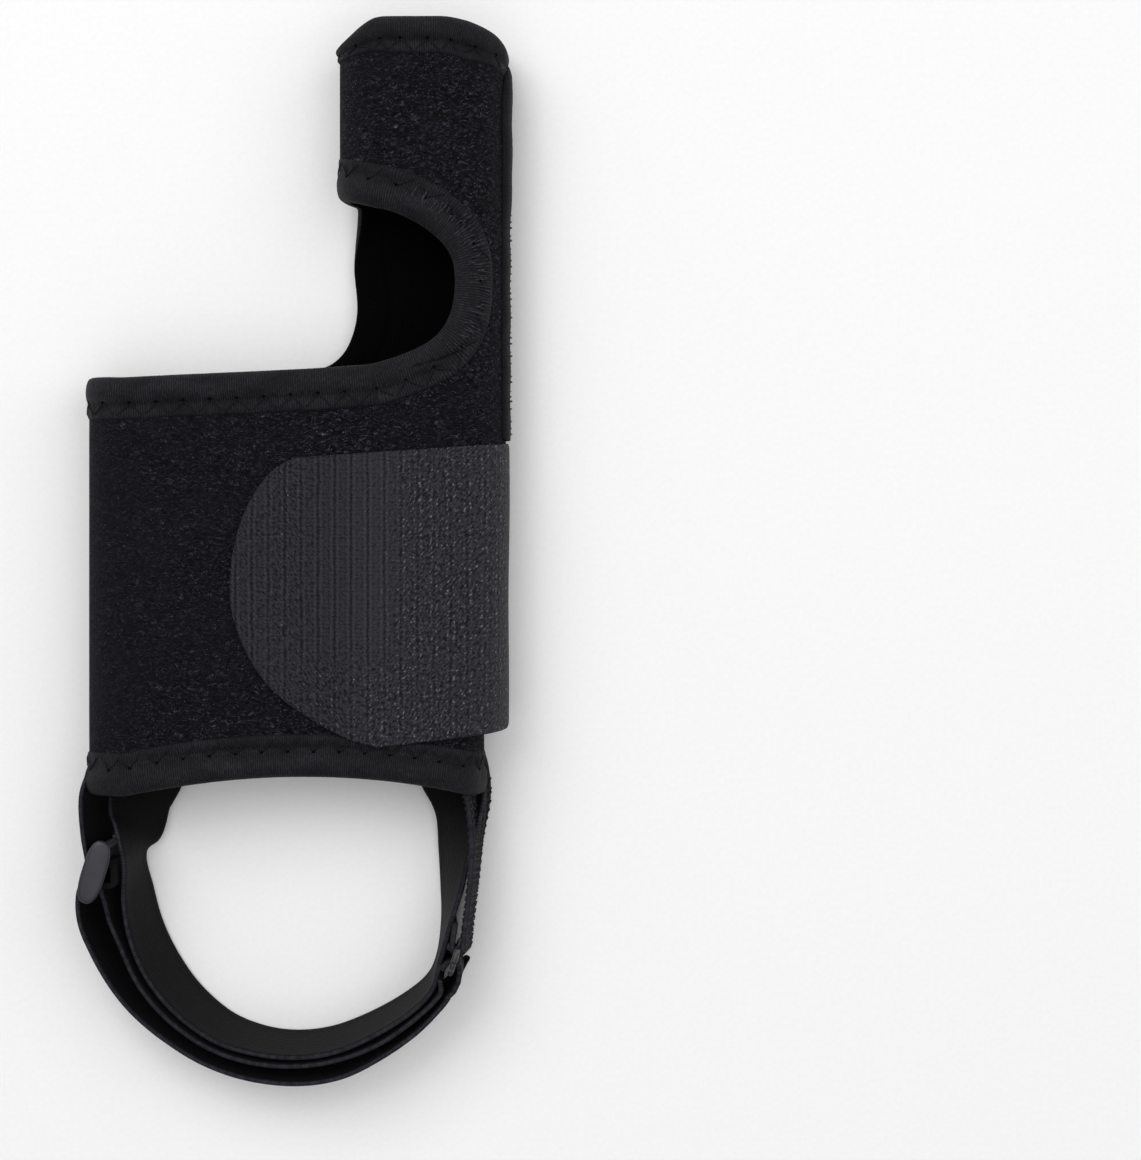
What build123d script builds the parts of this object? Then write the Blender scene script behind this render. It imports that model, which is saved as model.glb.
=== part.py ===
from build123d import *
import math
import os

# Pull-on brace for the ball of the foot and the big toe, with a closing tab and a heel strap.
# All lengths are millimetres. The brace lies on its back panel: +X is the side with the stay,
# +Y points to the toe sleeve and +Z is up, away from the back panel.

# ---- foam laminate --------------------------------------------------------------------------
wall = 2.6              # whole wall: plush, foam and lining
lining_t = 0.4          # the smooth inner lining, part of the wall
sleeve_h = 22.0         # height of the flattened sleeves
fold_r = 8.0            # outer radius of the side folds

# ---- foot sleeve ----------------------------------------------------------------------------
foot_left = -48.5
foot_w = 99.8
foot_bottom = -58.5
foot_len = 100.0

# ---- toe sleeve -----------------------------------------------------------------------------
toe_w = 39.8
neck_len = 42.2         # from the foot sleeve's top edge to the toe sleeve
toe_len = 43.5
body_gap = 0.3          # between pieces that move against each other

# ---- cut-out between the two sleeves --------------------------------------------------------
cut_r = 22.0            # radius of the bound front edge
cut_inset = 4.4         # its centre, in from the toe sleeve's outer side
back_inset = 3.6        # back edge, in from the toe sleeve's outer side
binding_w = 5.5         # binding of the cut-out and of the foot sleeve's top edge
binding_t = 0.7
bottom_binding_w = 9.0
toe_binding_w = 7.5

# ---- stay and its pocket --------------------------------------------------------------------
stay_w = 8.0
stay_t = 0.4
stay_len = 84.0
pocket_wall = 0.4
pocket_slack = 0.2
pocket_seam = 1.8       # sewn margin along each long side
pocket_below = 15.5     # how far below the foot sleeve's top edge the pocket starts

# ---- closing tab ----------------------------------------------------------------------------
tab_t = 1.2
hook_t = 0.8
hook_r = 20.0
hook_margin = 3.4       # loop tape left free round the hook disc at the tab's tip
hook_drop = 1.4         # hook disc's centre, below the tab's tip
tab_gap = 1.6           # between the tab's root and the stay pocket above it
tab_slope = 2.8         # how far the top edge falls from the fold to its left end
tab_corner_x = 1.6      # left end of the top edge
tab_tip_x = -13.4
tab_tip_rise = 1.45     # the tip, above the middle of the tab's height
tab_bottom_left = (21.5, -46.5)
tab_bottom = -41.2
tab_root_t = 1.3
tab_root_low = 1.5      # height of the root's sewn end above the floor
tab_root_high = 20.8

# ---- straps ---------------------------------------------------------------------------------
web_w = 16.0
web_t = 1.3
fold_margin = 0.2       # sewn ends stay this far inside the flat of the sleeve
sewn_len = 10.0         # length of a sewn end inside the foot sleeve
sewn_proud = 1.0        # how far a sewn end comes out of the foot sleeve
root_len = 8.7          # twisted stretch between a sewn end and its strap
heel_r = 37.2           # centreline radius of the heel band
heel_clear = 0.6        # between the heel band and the return layer at their lowest points
heel_cx = 0.7
outer_x = -46.8         # straight leg of the outer strap
outer_leg = 19.5
outer_r_left = 38.0
outer_flat = 16.3       # straight stretch at the lowest point
outer_r_right = 36.0
outer_stop = 18.0       # degrees left before the right arc would stand upright
anchor_x = 46.3         # ring anchor strap, where it leaves its root
tack_l = 12.0
tack_w = 1.6
tack_t = 0.3

# ---- slider and ring ------------------------------------------------------------------------
fit = 0.3               # clearance of webbing in the slider and round a bar
web_side = 0.5          # clearance at each edge of the webbing
slider_len = 16.0
slider_drop = 0.7       # slider's end, below the top of the straight straps
rail_t = 2.0
bar_t = 1.8
end_bar_w = 2.2
mid_bar_w = 3.0
end_bar_inset = 1.2     # end bars, in from the rails' ends
bar_root = 0.5          # how far each bar runs into its rails
rail_round = 0.35       # corner radius of a rail, as a share of its width
loop_corner = 1.6
ring_wire = 2.0
ring_clear = 0.1        # between the two straps that share the ring
anchor_tail = 5.0

# ---- derived --------------------------------------------------------------------------------
mid_z = sleeve_h / 2
foot_right = foot_left + foot_w
foot_top = foot_bottom + foot_len
pocket_low = foot_top - pocket_below
tab_top = pocket_low - tab_gap
tab_top_left = (tab_corner_x, tab_top - tab_slope)
tab_left = (tab_tip_x, (tab_top + tab_bottom_left[1]) / 2 + tab_tip_rise)
toe_left = foot_right - toe_w
toe_bottom = foot_top + neck_len
toe_top = toe_bottom + toe_len + body_gap
neck_top = toe_bottom
toe_start = toe_bottom + body_gap
cut_x = toe_left + cut_inset
cut_y = (foot_top + toe_start) / 2
floor_in = wall                      # inner face of the back panel
roof_in = sleeve_h - wall            # inner face of the front panel
sewn_y = foot_bottom - sewn_proud
root_y = sewn_y - body_gap
web_y = root_y - root_len
web_z = mid_z - web_w / 2
flat_left = foot_left + fold_r + fold_margin
flat_right = foot_right - fold_r - fold_margin
sewn_left_x = flat_left + web_w / 2
sewn_right_x = flat_right - web_w / 2
loop_x = outer_x + web_t + fit                    # outer side of the loop on the slider's bar
bar_x = loop_x + web_t / 2 + fit + bar_t / 2
return_x = bar_x + bar_t / 2 + fit + web_t / 2
layer_step = return_x - outer_x
heel_cy = web_y - outer_leg - outer_r_left + layer_step + web_t + heel_clear + heel_r
ring_len = layer_step / 2 + web_t / 2 + ring_wire / 2 + fit + web_t + ring_clear   # bar to bar
slider_y = web_y - slider_len / 2 - slider_drop
os.makedirs("parts", exist_ok=True)


def save(shape, node):
    export_step(shape, f"parts/{node}.step")


def block(x0, x1, y0, y1, z0, z1):
    """A box between two corners."""
    return Pos((x0 + x1) / 2, (y0 + y1) / 2, (z0 + z1) / 2) * Box(x1 - x0, y1 - y0, z1 - z0)


def tube_solid(x0, x1, y0, y1, inset):
    """A flattened sleeve's solid section, inset from the outer face, between two Y values."""
    section = RectangleRounded(x1 - x0 - 2 * inset, sleeve_h - 2 * inset, fold_r - inset)
    placed = Plane(origin=((x0 + x1) / 2, y1, mid_z), x_dir=(1, 0, 0), z_dir=(0, 1, 0)) * section
    return extrude(placed, amount=-(y1 - y0))


def tube(x0, x1, y0, y1, outer, inner):
    """A flattened sleeve's wall between two insets; it is open at both ends."""
    return tube_solid(x0, x1, y0, y1, outer) - tube_solid(x0, x1, y0 - 1, y1 + 1, inner)


def front_half(shape):
    return shape & block(-200, 200, -200, 200, mid_z, 60)


def back_half(shape):
    return shape & block(-200, 200, -200, 200, -60, mid_z)


def disc(x, y, r, z0, z1):
    return Pos(x, y, (z0 + z1) / 2) * Cylinder(r, z1 - z0)


# ---- foot sleeve and toe sleeve -------------------------------------------------------------
def make_foot_sleeve():
    shell = tube(foot_left, foot_right, foot_bottom, foot_top, 0, wall - lining_t)
    lining = tube(foot_left, foot_right, foot_bottom, foot_top, wall - lining_t, wall)
    save(front_half(shell), "foot_front_panel")
    save(back_half(shell), "foot_back_panel")
    save(lining, "foot_lining")


def make_toe_sleeve():
    shell = tube(toe_left, foot_right, toe_start, toe_top, 0, wall - lining_t)
    lining = tube(toe_left, foot_right, toe_start, toe_top, wall - lining_t, wall)
    save(front_half(shell), "toe_front_panel")
    save(back_half(shell), "toe_back_panel")
    save(lining, "toe_lining")


def make_neck():
    """The channel that joins the sleeves: open to the left, with a round front cut-out."""
    channel = tube(toe_left, foot_right, foot_top, neck_top, 0, wall)
    window = disc(cut_x, cut_y, cut_r, mid_z, sleeve_h + 1)
    back_edge = toe_left + back_inset
    outside = block(toe_left - 1, back_edge, foot_top - 1, neck_top + 1, -1, mid_z)
    save(channel - window - outside, "neck_panel")
    strip = block(back_edge - binding_t, back_edge, foot_top + 1, neck_top - 1, 0, wall + binding_t)
    save(strip, "neck_back_binding")


# ---- bindings -------------------------------------------------------------------------------
def edge_band(x0, x1, y0, y1):
    """A band proud of a sleeve's front and folds; the back stays flat on the floor."""
    band = tube_solid(x0 - binding_t, x1 + binding_t, y0, y1, 0)
    band = band & block(-200, 200, -200, 200, 0, 60)
    core = tube_solid(x0, x1, y0 - 1, y1 + 1, 0)
    cap = tube_solid(x0, x1, y0, y1, 0)
    raised = Pos(0, 0, binding_t) * cap
    return (band + raised) - core


def cut_ring(x0, y0, y1):
    """The flat ring of binding round the cut-out, right of x0 and between two Y values."""
    ring = disc(cut_x, cut_y, cut_r + binding_w, sleeve_h, sleeve_h + binding_t)
    ring = ring - disc(cut_x, cut_y, cut_r, sleeve_h - 1, sleeve_h + binding_t + 1)
    return ring & block(x0, cut_x + 60, y0, y1, sleeve_h, sleeve_h + binding_t)


def make_bindings():
    ring_low = cut_y - cut_r - binding_w
    ring_high = cut_y + cut_r + binding_w
    flat_x = toe_left + fold_r
    top = edge_band(foot_left, foot_right, ring_low, foot_top)
    top = top & block(-200, cut_x, -200, 200, mid_z, 60)
    save(top + cut_ring(cut_x, ring_low, foot_top), "foot_top_binding")
    save(cut_ring(cut_x, foot_top, neck_top), "cutout_binding")
    low = edge_band(toe_left, foot_right, toe_start, ring_high)
    low = low & block(-200, flat_x, -200, 200, mid_z, 60)
    save(low + cut_ring(flat_x, toe_start, ring_high), "toe_bottom_binding")
    save(edge_band(toe_left, foot_right, toe_top - toe_binding_w, toe_top), "toe_top_binding")
    bottom = edge_band(foot_left, foot_right, foot_bottom, foot_bottom + bottom_binding_w)
    save(bottom, "foot_bottom_binding")


# ---- stay -----------------------------------------------------------------------------------
def make_stay():
    x0 = foot_right + body_gap
    half = stay_w / 2 + pocket_slack
    inner_t = stay_t + pocket_slack
    inner_len = stay_len + 2 * pocket_slack
    y0 = pocket_low
    y1 = y0 + inner_len + 2 * pocket_seam
    outer = block(x0, x0 + inner_t + 2 * pocket_wall, y0, y1,
                  mid_z - half - pocket_seam, mid_z + half + pocket_seam)
    inner = block(x0 + pocket_wall, x0 + pocket_wall + inner_t, y0 + pocket_seam, y1 - pocket_seam,
                  mid_z - half, mid_z + half)
    save(outer - inner, "stay_pocket")
    sx = x0 + pocket_wall + pocket_slack / 2
    sy = y0 + pocket_seam + pocket_slack
    save(block(sx, sx + stay_t, sy, sy + stay_len, mid_z - stay_w / 2, mid_z + stay_w / 2), "side_stay")


# ---- closing tab ----------------------------------------------------------------------------
def make_tab():
    """A half-round tab over the front panel, turned round the right fold from its sewn root."""
    right = foot_right + body_gap / 2
    hook_z = sleeve_h + body_gap
    plate_z = hook_z + hook_t
    top = Line((right, tab_top), tab_top_left)
    arc = ThreePointArc(tab_top_left, tab_left, tab_bottom_left)
    low = Line(tab_bottom_left, (right, tab_bottom))
    side = Line((right, tab_bottom), (right, tab_top))
    plate = extrude(Pos(0, 0, plate_z) * make_face([top, arc, low, side]), amount=tab_t)
    save(plate, "closing_tab")
    hook_x = tab_left[0] + hook_r + hook_margin
    save(disc(hook_x, tab_left[1] - hook_drop, hook_r, hook_z, plate_z), "hook_patch")
    root_x = foot_right + body_gap
    root = block(root_x, root_x + tab_root_t, tab_bottom, tab_top, tab_root_low, tab_root_high)
    save(root, "tab_root")


# ---- straps ---------------------------------------------------------------------------------
def annulus_part(cx, cy, r, start, turn):
    """Webbing on edge along an arc whose centreline has radius r; angles in degrees."""
    outer = CenterArc((cx, cy), r + web_t / 2, start, turn)
    inner = CenterArc((cx, cy), r - web_t / 2, start, turn)
    ends = [Line(outer @ 0, inner @ 0), Line(outer @ 1, inner @ 1)]
    return extrude(Pos(0, 0, web_z) * make_face([outer, inner] + ends), amount=web_w)


def leg(x, y0, y1):
    """A straight upright stretch of webbing, on edge, along Y."""
    return block(x - web_t / 2, x + web_t / 2, y0, y1, web_z, web_z + web_w)


def slab(p, q):
    """Webbing on edge between two points of its centreline."""
    length = math.dist(p, q)
    angle = math.degrees(math.atan2(q[1] - p[1], q[0] - p[0]))
    spot = Pos((p[0] + q[0]) / 2, (p[1] + q[1]) / 2, mid_z)
    return spot * Rot(0, 0, angle) * Box(length, web_t, web_w)


def root(x_flat, z_flat, x_edge, hand):
    """Webbing that turns from lying flat at the sleeve to standing on edge at its strap."""
    steps = 6
    sections = []
    for i in range(steps + 1):
        part = i / steps
        turn = math.radians(90 * part * hand)
        place = (x_flat + (x_edge - x_flat) * part, root_y - root_len * part,
                 z_flat + (mid_z - z_flat) * part)
        plane = Plane(origin=place, x_dir=(math.cos(turn), 0, math.sin(turn)), z_dir=(0, -1, 0))
        sections.append(plane * Rectangle(web_w, web_t))
    return loft(sections, ruled=True)


def make_roots():
    low = floor_in + web_t / 2
    high = roof_in - web_t / 2
    save(root(sewn_left_x, low, heel_cx - heel_r, 1), "heel_band_left_root")
    save(root(sewn_right_x, low, heel_cx + heel_r, -1), "heel_band_right_root")
    save(root(sewn_left_x, high, outer_x, 1), "adjust_strap_root")
    save(root(sewn_right_x, high, anchor_x, -1), "anchor_strap_root")


def make_sewn_ends():
    """Four flat ends inside the foot sleeve, each held by a bar tack."""
    ends = [("heel_band_left_end", sewn_left_x, False), ("heel_band_right_end", sewn_right_x, False),
            ("adjust_strap_end", sewn_left_x, True), ("anchor_strap_end", sewn_right_x, True)]
    pieces = []
    for node, x, front in ends:
        z0 = roof_in - web_t if front else floor_in
        save(block(x - web_w / 2, x + web_w / 2, sewn_y, sewn_y + sewn_len, z0, z0 + web_t), node)
        tz = z0 - tack_t if front else z0 + web_t
        ty = sewn_y + sewn_len - 2 * tack_w
        pieces.append(block(x - tack_l / 2, x + tack_l / 2, ty, ty + tack_w, tz, tz + tack_t))
    save(Compound(children=pieces), "strap_bar_tacks")


def make_heel_band():
    left = leg(heel_cx - heel_r, heel_cy, web_y)
    right = leg(heel_cx + heel_r, heel_cy, web_y)
    save(left + annulus_part(heel_cx, heel_cy, heel_r, 180, 180) + right, "heel_band")


def outer_layer(step, y_top):
    """One layer of the outer strap, step inside the outermost one, from its top to the ring."""
    cy = web_y - outer_leg
    left_cx = outer_x + outer_r_left
    right_cx = left_cx + outer_flat
    right_cy = cy - outer_r_left + outer_r_right
    r_left = outer_r_left - step
    r_right = outer_r_right - step
    low = cy - r_left
    straight = leg(outer_x + step, cy, y_top)
    curve = annulus_part(left_cx, cy, r_left, 180, 90)
    flat = block(left_cx, right_cx, low - web_t / 2, low + web_t / 2, web_z, web_z + web_w)
    rise = annulus_part(right_cx, right_cy, r_right, 270, 90 - outer_stop)
    return straight + curve + flat + rise


def ring_spot():
    """Centre of the ring's lower bar, between the two layers where they end."""
    right_cx = outer_x + outer_r_left + outer_flat
    right_cy = web_y - outer_leg - outer_r_left + outer_r_right
    r = outer_r_right - layer_step / 2
    a = math.radians(outer_stop)
    return (right_cx + r * math.cos(a), right_cy - r * math.sin(a))


def make_outer_strap():
    bx, by = ring_spot()
    turn = annulus_part(bx, by, layer_step / 2, -outer_stop, 180)
    save(outer_layer(0, web_y) + turn, "adjust_strap")
    top = slider_y - slider_len / 2 - body_gap
    save(outer_layer(layer_step, top), "adjust_strap_return")


def make_ring():
    """A wire rectangle: one bar in the outer strap's turn, one in the anchor strap's loop."""
    bx, by = ring_spot()
    a = math.radians(outer_stop)
    ux, uy = math.sin(a), math.cos(a)
    ax, ay = bx + ring_len * ux, by + ring_len * uy
    r = ring_wire / 2
    half = web_w / 2 + web_side + r
    bars = []
    for x, y in ((bx, by), (ax, ay)):
        bars.append(disc(x, y, r, mid_z - half, mid_z + half))
    for z in (mid_z - half, mid_z + half):
        side = Plane(origin=(bx, by, z), z_dir=(ux, uy, 0)) * Circle(r)
        bars.append(extrude(side, amount=ring_len))
        for x, y in ((bx, by), (ax, ay)):
            bars.append(Pos(x, y, z) * Sphere(r))
    ring = bars[0]
    for piece in bars[1:]:
        ring = ring + piece
    save(ring, "strap_ring")
    loop_r = r + fit + web_t / 2
    p = (anchor_x, web_y - body_gap)
    d = math.dist(p, (ax, ay))
    aim = math.atan2(p[1] - ay, p[0] - ax) - math.asin(loop_r / d)
    nx, ny = math.sin(aim), -math.cos(aim)
    touch = (ax + loop_r * nx, ay + loop_r * ny)
    start = math.degrees(math.atan2(ny, nx))
    loop = annulus_part(ax, ay, loop_r, start, -180)
    far = (ax - loop_r * nx, ay - loop_r * ny)
    end = (far[0] + anchor_tail * math.cos(aim), far[1] + anchor_tail * math.sin(aim))
    save(slab(p, touch) + loop + slab(far, end), "ring_anchor_strap")


def make_slider():
    """Three bars between two rails: the strap passes between the end bars and the middle one."""
    half = web_w / 2 + web_side
    end_x1 = outer_x - web_t / 2 - fit
    end_x0 = end_x1 - bar_t
    mid_x0 = bar_x - bar_t / 2
    mid_x1 = bar_x + bar_t / 2
    y0 = slider_y - slider_len / 2
    y1 = slider_y + slider_len / 2
    body = None
    for z0, z1 in ((mid_z - half - rail_t, mid_z - half), (mid_z + half, mid_z + half + rail_t)):
        rail_w = mid_x1 - end_x0
        rail = extrude(Pos((end_x0 + mid_x1) / 2, slider_y, z0)
                       * RectangleRounded(rail_w, slider_len, rail_w * rail_round), amount=z1 - z0)
        body = rail if body is None else body + rail
    low, high = mid_z - half - bar_root, mid_z + half + bar_root
    for a in (y0 + end_bar_inset, y1 - end_bar_inset - end_bar_w):
        body = body + block(end_x0, end_x1, a, a + end_bar_w, low, high)
    body = body + block(mid_x0, mid_x1, slider_y - mid_bar_w / 2, slider_y + mid_bar_w / 2,
                        low, high)
    save(body, "strap_slider")
    loop_len = mid_bar_w + 2 * fit + 2 * web_t
    loop_w = bar_t + 2 * fit + 2 * web_t
    outer = Pos(bar_x, slider_y, web_z) * RectangleRounded(loop_w, loop_len, loop_corner)
    hole = Pos(bar_x, slider_y, web_z) * Rectangle(loop_w - 2 * web_t, loop_len - 2 * web_t)
    save(extrude(outer - hole, amount=web_w), "slider_strap_loop")


make_foot_sleeve()
make_toe_sleeve()
make_neck()
make_bindings()
make_stay()
make_tab()
make_sewn_ends()
make_roots()
make_heel_band()
make_outer_strap()
make_ring()
make_slider()
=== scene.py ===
import math

import bmesh
import bpy
import numpy as np
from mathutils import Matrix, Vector


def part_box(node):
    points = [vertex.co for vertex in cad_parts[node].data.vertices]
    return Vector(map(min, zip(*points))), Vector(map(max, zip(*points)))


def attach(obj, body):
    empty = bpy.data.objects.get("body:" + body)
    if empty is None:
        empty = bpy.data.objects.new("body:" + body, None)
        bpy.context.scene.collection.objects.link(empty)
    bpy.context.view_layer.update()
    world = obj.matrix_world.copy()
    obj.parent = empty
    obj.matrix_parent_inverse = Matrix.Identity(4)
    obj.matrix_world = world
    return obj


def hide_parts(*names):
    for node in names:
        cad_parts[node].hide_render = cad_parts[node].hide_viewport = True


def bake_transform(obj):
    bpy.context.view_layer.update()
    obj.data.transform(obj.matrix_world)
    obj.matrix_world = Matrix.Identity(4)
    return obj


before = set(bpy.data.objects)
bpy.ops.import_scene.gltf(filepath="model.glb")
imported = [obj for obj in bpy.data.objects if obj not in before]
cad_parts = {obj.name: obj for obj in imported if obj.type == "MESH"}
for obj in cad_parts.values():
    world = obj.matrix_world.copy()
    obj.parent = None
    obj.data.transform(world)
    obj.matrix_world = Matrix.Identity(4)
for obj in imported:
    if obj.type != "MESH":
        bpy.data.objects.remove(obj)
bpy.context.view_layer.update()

bl_info = {
    "name": "Soft foot brace",
    "version": (1, 0, 0),
    "blender": (4, 5, 0),
    "location": "View3D > Sidebar > Brace",
    "description": "Builds a pull-on brace with a toe sleeve, a closing tab and a heel strap",
    "category": "Object",
}

# ---- the frame, in millimetres --------------------------------------------------------------
MM = 0.001


def node_box(name):
    """Lowest and highest corner of a CAD node, in millimetres."""
    low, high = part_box(name)
    return np.array(low) / MM, np.array(high) / MM


FOOT_LOW, FOOT_HIGH = node_box("foot_front_panel")
TOE_LOW, TOE_HIGH = node_box("toe_front_panel")
RIGHT, LEFT = FOOT_HIGH[0], FOOT_LOW[0]
TOE_LEFT = TOE_LOW[0]
FOOT_BOTTOM, FOOT_TOP = FOOT_LOW[1], FOOT_HIGH[1]
TOE_BOTTOM, TOE_TOP = TOE_LOW[1], TOE_HIGH[1]
MID_Z, TOP_Z = FOOT_LOW[2], FOOT_HIGH[2]

FOLD_X = 9.0             # how far a side fold reaches in from its edge
FOLD_ARC = 15.5          # cloth used by half a side fold
WALL = 2.5               # laminate thickness
BACK_REST = 1.25         # tapes hold the back's cloth this far off the floor
FLOOR_GAP = 0.12         # where the back is pressed flat by the floor
TAPER, TAPER_START, TAPER_RUN = 5.2, -8.0, 34.0    # the right side draws in towards the bottom edge
WEB_HALF = 8.0           # half the webbing's width
SEAM_IN, SEAM_TOP_Y, DENT_REACH = 10.0, 32.0, 2.6    # seams, from an edge or at a Y, and how far they pull
FLAT_START = RIGHT - FOLD_X
FOOT_HALF = 2 * FOLD_ARC + FLAT_START - (LEFT + FOLD_X)
TOE_HALF = 2 * FOLD_ARC + FLAT_START - (TOE_LEFT + FOLD_X)


def ease(t):
    """The smooth step 3t^2 - 2t^3 between 0 and 1."""
    t = np.clip(t, 0.0, 1.0)
    return t * t * (3 - 2 * t)


def across(x):
    """Cloth coordinate w of a place x on the front: the arc length from the right-hand edge."""
    return FOLD_ARC + FLAT_START - np.asarray(x, float)


def ring(w, left):
    """A flattened tube: quarter ellipse, straight run, quarter ellipse, for w of either sign.

    Returns x, and the height above the middle as a share of the half height.
    """
    s = np.abs(w)
    run = FLAT_START - (left + FOLD_X)
    near = np.clip(s / FOLD_ARC, 0, 1) * np.pi / 2
    far = np.clip((s - FOLD_ARC - run) / FOLD_ARC, 0, 1) * np.pi / 2
    straight = np.clip(s - FOLD_ARC, 0, run)
    x = FLAT_START + FOLD_X * np.cos(near) - straight - FOLD_X * np.sin(far)
    up = np.sin(near) * np.cos(far)
    return x, np.sign(w) * up


def swell(x, y):
    """How puffy the front is: highest between the folds, with slow hand-made unevenness."""
    foot = 1 - ((x - (LEFT + RIGHT) / 2) / ((RIGHT - LEFT) / 2)) ** 2
    toe = 1 - ((x - (TOE_LEFT + RIGHT) / 2) / ((RIGHT - TOE_LEFT) / 2)) ** 2
    share = ease((y - FOOT_TOP) / (TOE_BOTTOM - FOOT_TOP))
    crown = np.clip(foot * (1 - share) + toe * share, 0, 1)
    waves = np.sin(x / 13 + 0.7 * np.sin(y / 17)) * np.cos(y / 19 + 0.5) * 0.22
    waves = waves + 0.10 * np.sin(x / 4.7 + y / 6.1) * np.cos(y / 5.3 - x / 9)
    return 0.9 * np.sqrt(crown) + waves


def skin(w, y, lift=0.0, free=False):
    """The brace's outer cloth at (w, y), lifted along its normal; arrays in, points out.

    The foot ring turns into the toe ring over the last stretch of the neck, and the right side
    draws in towards the bottom edge. A free piece, such as the tab, follows neither dips nor taper;
    free may be a share, for a piece that comes free away from its seam. Nothing goes below the floor.
    """
    def place(w, y):
        share = ease((y - TOE_BOTTOM + 18) / 14)
        w_foot = np.where(w > FOOT_HALF, w - 2 * FOOT_HALF, w)
        w_toe = np.where(w > TOE_HALF, w - 2 * TOE_HALF, w)
        w_toe = np.where(w_toe < -TOE_HALF, -TOE_HALF, w_toe)
        xf, uf = ring(w_foot, LEFT)
        xt, ut = ring(w_toe, TOE_LEFT)
        x = xf * (1 - share) + xt * share
        up = uf * (1 - share) + ut * share
        dip = (1 - loose) * pinch(w, y)
        front = (TOP_Z - MID_Z - 1.0 + swell(x, y)) - dip
        back = MID_Z - BACK_REST - 0.4 * dip
        z = MID_Z + np.where(up > 0, up * front, up * back)
        drawn = (1 - loose) * TAPER * ease((TAPER_START - y) / TAPER_RUN)
        x = x - drawn * np.clip((x - LEFT) / (RIGHT - LEFT), 0, 1) ** 2
        return np.stack([x, y + 0 * x, z], -1)

    w, y, lift, loose = np.broadcast_arrays(*[np.asarray(v, float) for v in (w, y, lift, free)])
    here = place(w, y)
    step = 0.3
    dw = place(w + step, y) - place(w - step, y)
    dy = place(w, y + step) - place(w, y - step)
    normal = np.cross(dy, dw)
    normal /= np.linalg.norm(normal, axis=-1, keepdims=True) + 1e-12
    points = here + normal * lift[..., None]
    points[..., 2] = np.maximum(points[..., 2], FLOOR_GAP)
    return points


# ---- outlines -------------------------------------------------------------------------------
# Front edge of the cut-out from the foot sleeve to the toe sleeve, and the back edge: X and Y.
FRONT_CUT = [(20.2, 43.1), (28.5, 45.8), (35.0, 49.4), (38.8, 54.6), (40.2, 61.0),
             (39.9, 68.0), (37.2, 72.9), (32.0, 77.2), (25.0, 80.6), (20.5, 81.6)]
BACK_CUT = [(5.0, 43.0), (9.0, 44.4), (12.5, 47.6), (14.8, 52.6), (15.8, 58.5),
            (15.2, 66.0), (14.3, 74.6), (14.8, 83.5)]
W_FRONT_LOW, W_FRONT_HIGH = across(FRONT_CUT[0][0]), across(FRONT_CUT[-1][0])
W_BACK_LOW, W_BACK_HIGH = -across(BACK_CUT[0][0]), -across(BACK_CUT[-1][0])


def length_along(w, y):
    """Distance from the start of a path to each of its points."""
    return np.r_[0, np.cumsum(np.hypot(np.diff(w), np.diff(y)))]


def through(points, count):
    """A Catmull-Rom curve through the points, sampled evenly along its length."""
    p = np.asarray(points, float)
    p = np.vstack([2 * p[0] - p[1], p, 2 * p[-1] - p[-2]])
    u = np.linspace(0, len(p) - 3 - 1e-9, 40 * len(p))
    i = u.astype(int)
    f = (u - i)[:, None]
    a, b, c, d = p[i], p[i + 1], p[i + 2], p[i + 3]
    fine = 0.5 * (2 * b + (c - a) * f + (2 * a - 5 * b + 4 * c - d) * f ** 2
                  + (3 * b - a - 3 * c + d) * f ** 3)
    far = np.r_[0, np.cumsum(np.linalg.norm(np.diff(fine[:, :3], axis=0), axis=1))]
    want = np.linspace(0, far[-1], count)
    return np.stack([np.interp(want, far, fine[:, k]) for k in range(fine.shape[1])], -1)


def foot_top_at(w):
    """Y of the foot sleeve's top edge, w running on past the left fold to the back."""
    places = [W_FRONT_LOW, across(7.0), across(-10), across(LEFT + FOLD_X), FOOT_HALF,
              2 * FOOT_HALF - across(LEFT + FOLD_X), 2 * FOOT_HALF - across(-10), 2 * FOOT_HALF + W_BACK_LOW]
    heights = [43.1, 42.1, 41.2, 39.9, 40.4, 41.0, 41.8, 43.0]
    return np.interp(w, places, heights)


def foot_bottom_at(w):
    """Y of the foot sleeve's bottom edge: a shallow arch in front and behind."""
    w = np.where(w > FOOT_HALF, w - 2 * FOOT_HALF, w)
    x, up = ring(w, LEFT)
    arch = np.clip(1 - ((x - (LEFT + RIGHT) / 2 - 4) / 44.0) ** 2, 0, 1)
    return FOOT_BOTTOM + 1.0 + arch * np.where(up > 0, 4.6, 4.2)


TOE_SHOULDERS = [(12.0, 5.4), (12.8, 5.0), (15.0, 3.8), (18.0, 1.6), (21.2, 0.0), (38.0, 0.0),
                 (43.0, 1.2), (48.1, 3.0), (50.0, 4.2), (50.8, 5.2), (51.3, 6.0)]


def toe_top_at(w):
    """Y of the toe sleeve's top edge, which slopes down over both folds."""
    x = ring(np.where(w > TOE_HALF, w - 2 * TOE_HALF, w), TOE_LEFT)[0]
    places, drops = zip(*TOE_SHOULDERS)
    return TOE_TOP - 2.2 - np.interp(x, places, drops)


def toe_bottom_at(w):
    """Y of the toe sleeve's lower edge on its left side, w running on to the back."""
    places = [W_FRONT_HIGH, TOE_HALF, 2 * TOE_HALF + W_BACK_HIGH]
    return np.interp(w, places, [81.6, 84.6, 83.5])


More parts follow.
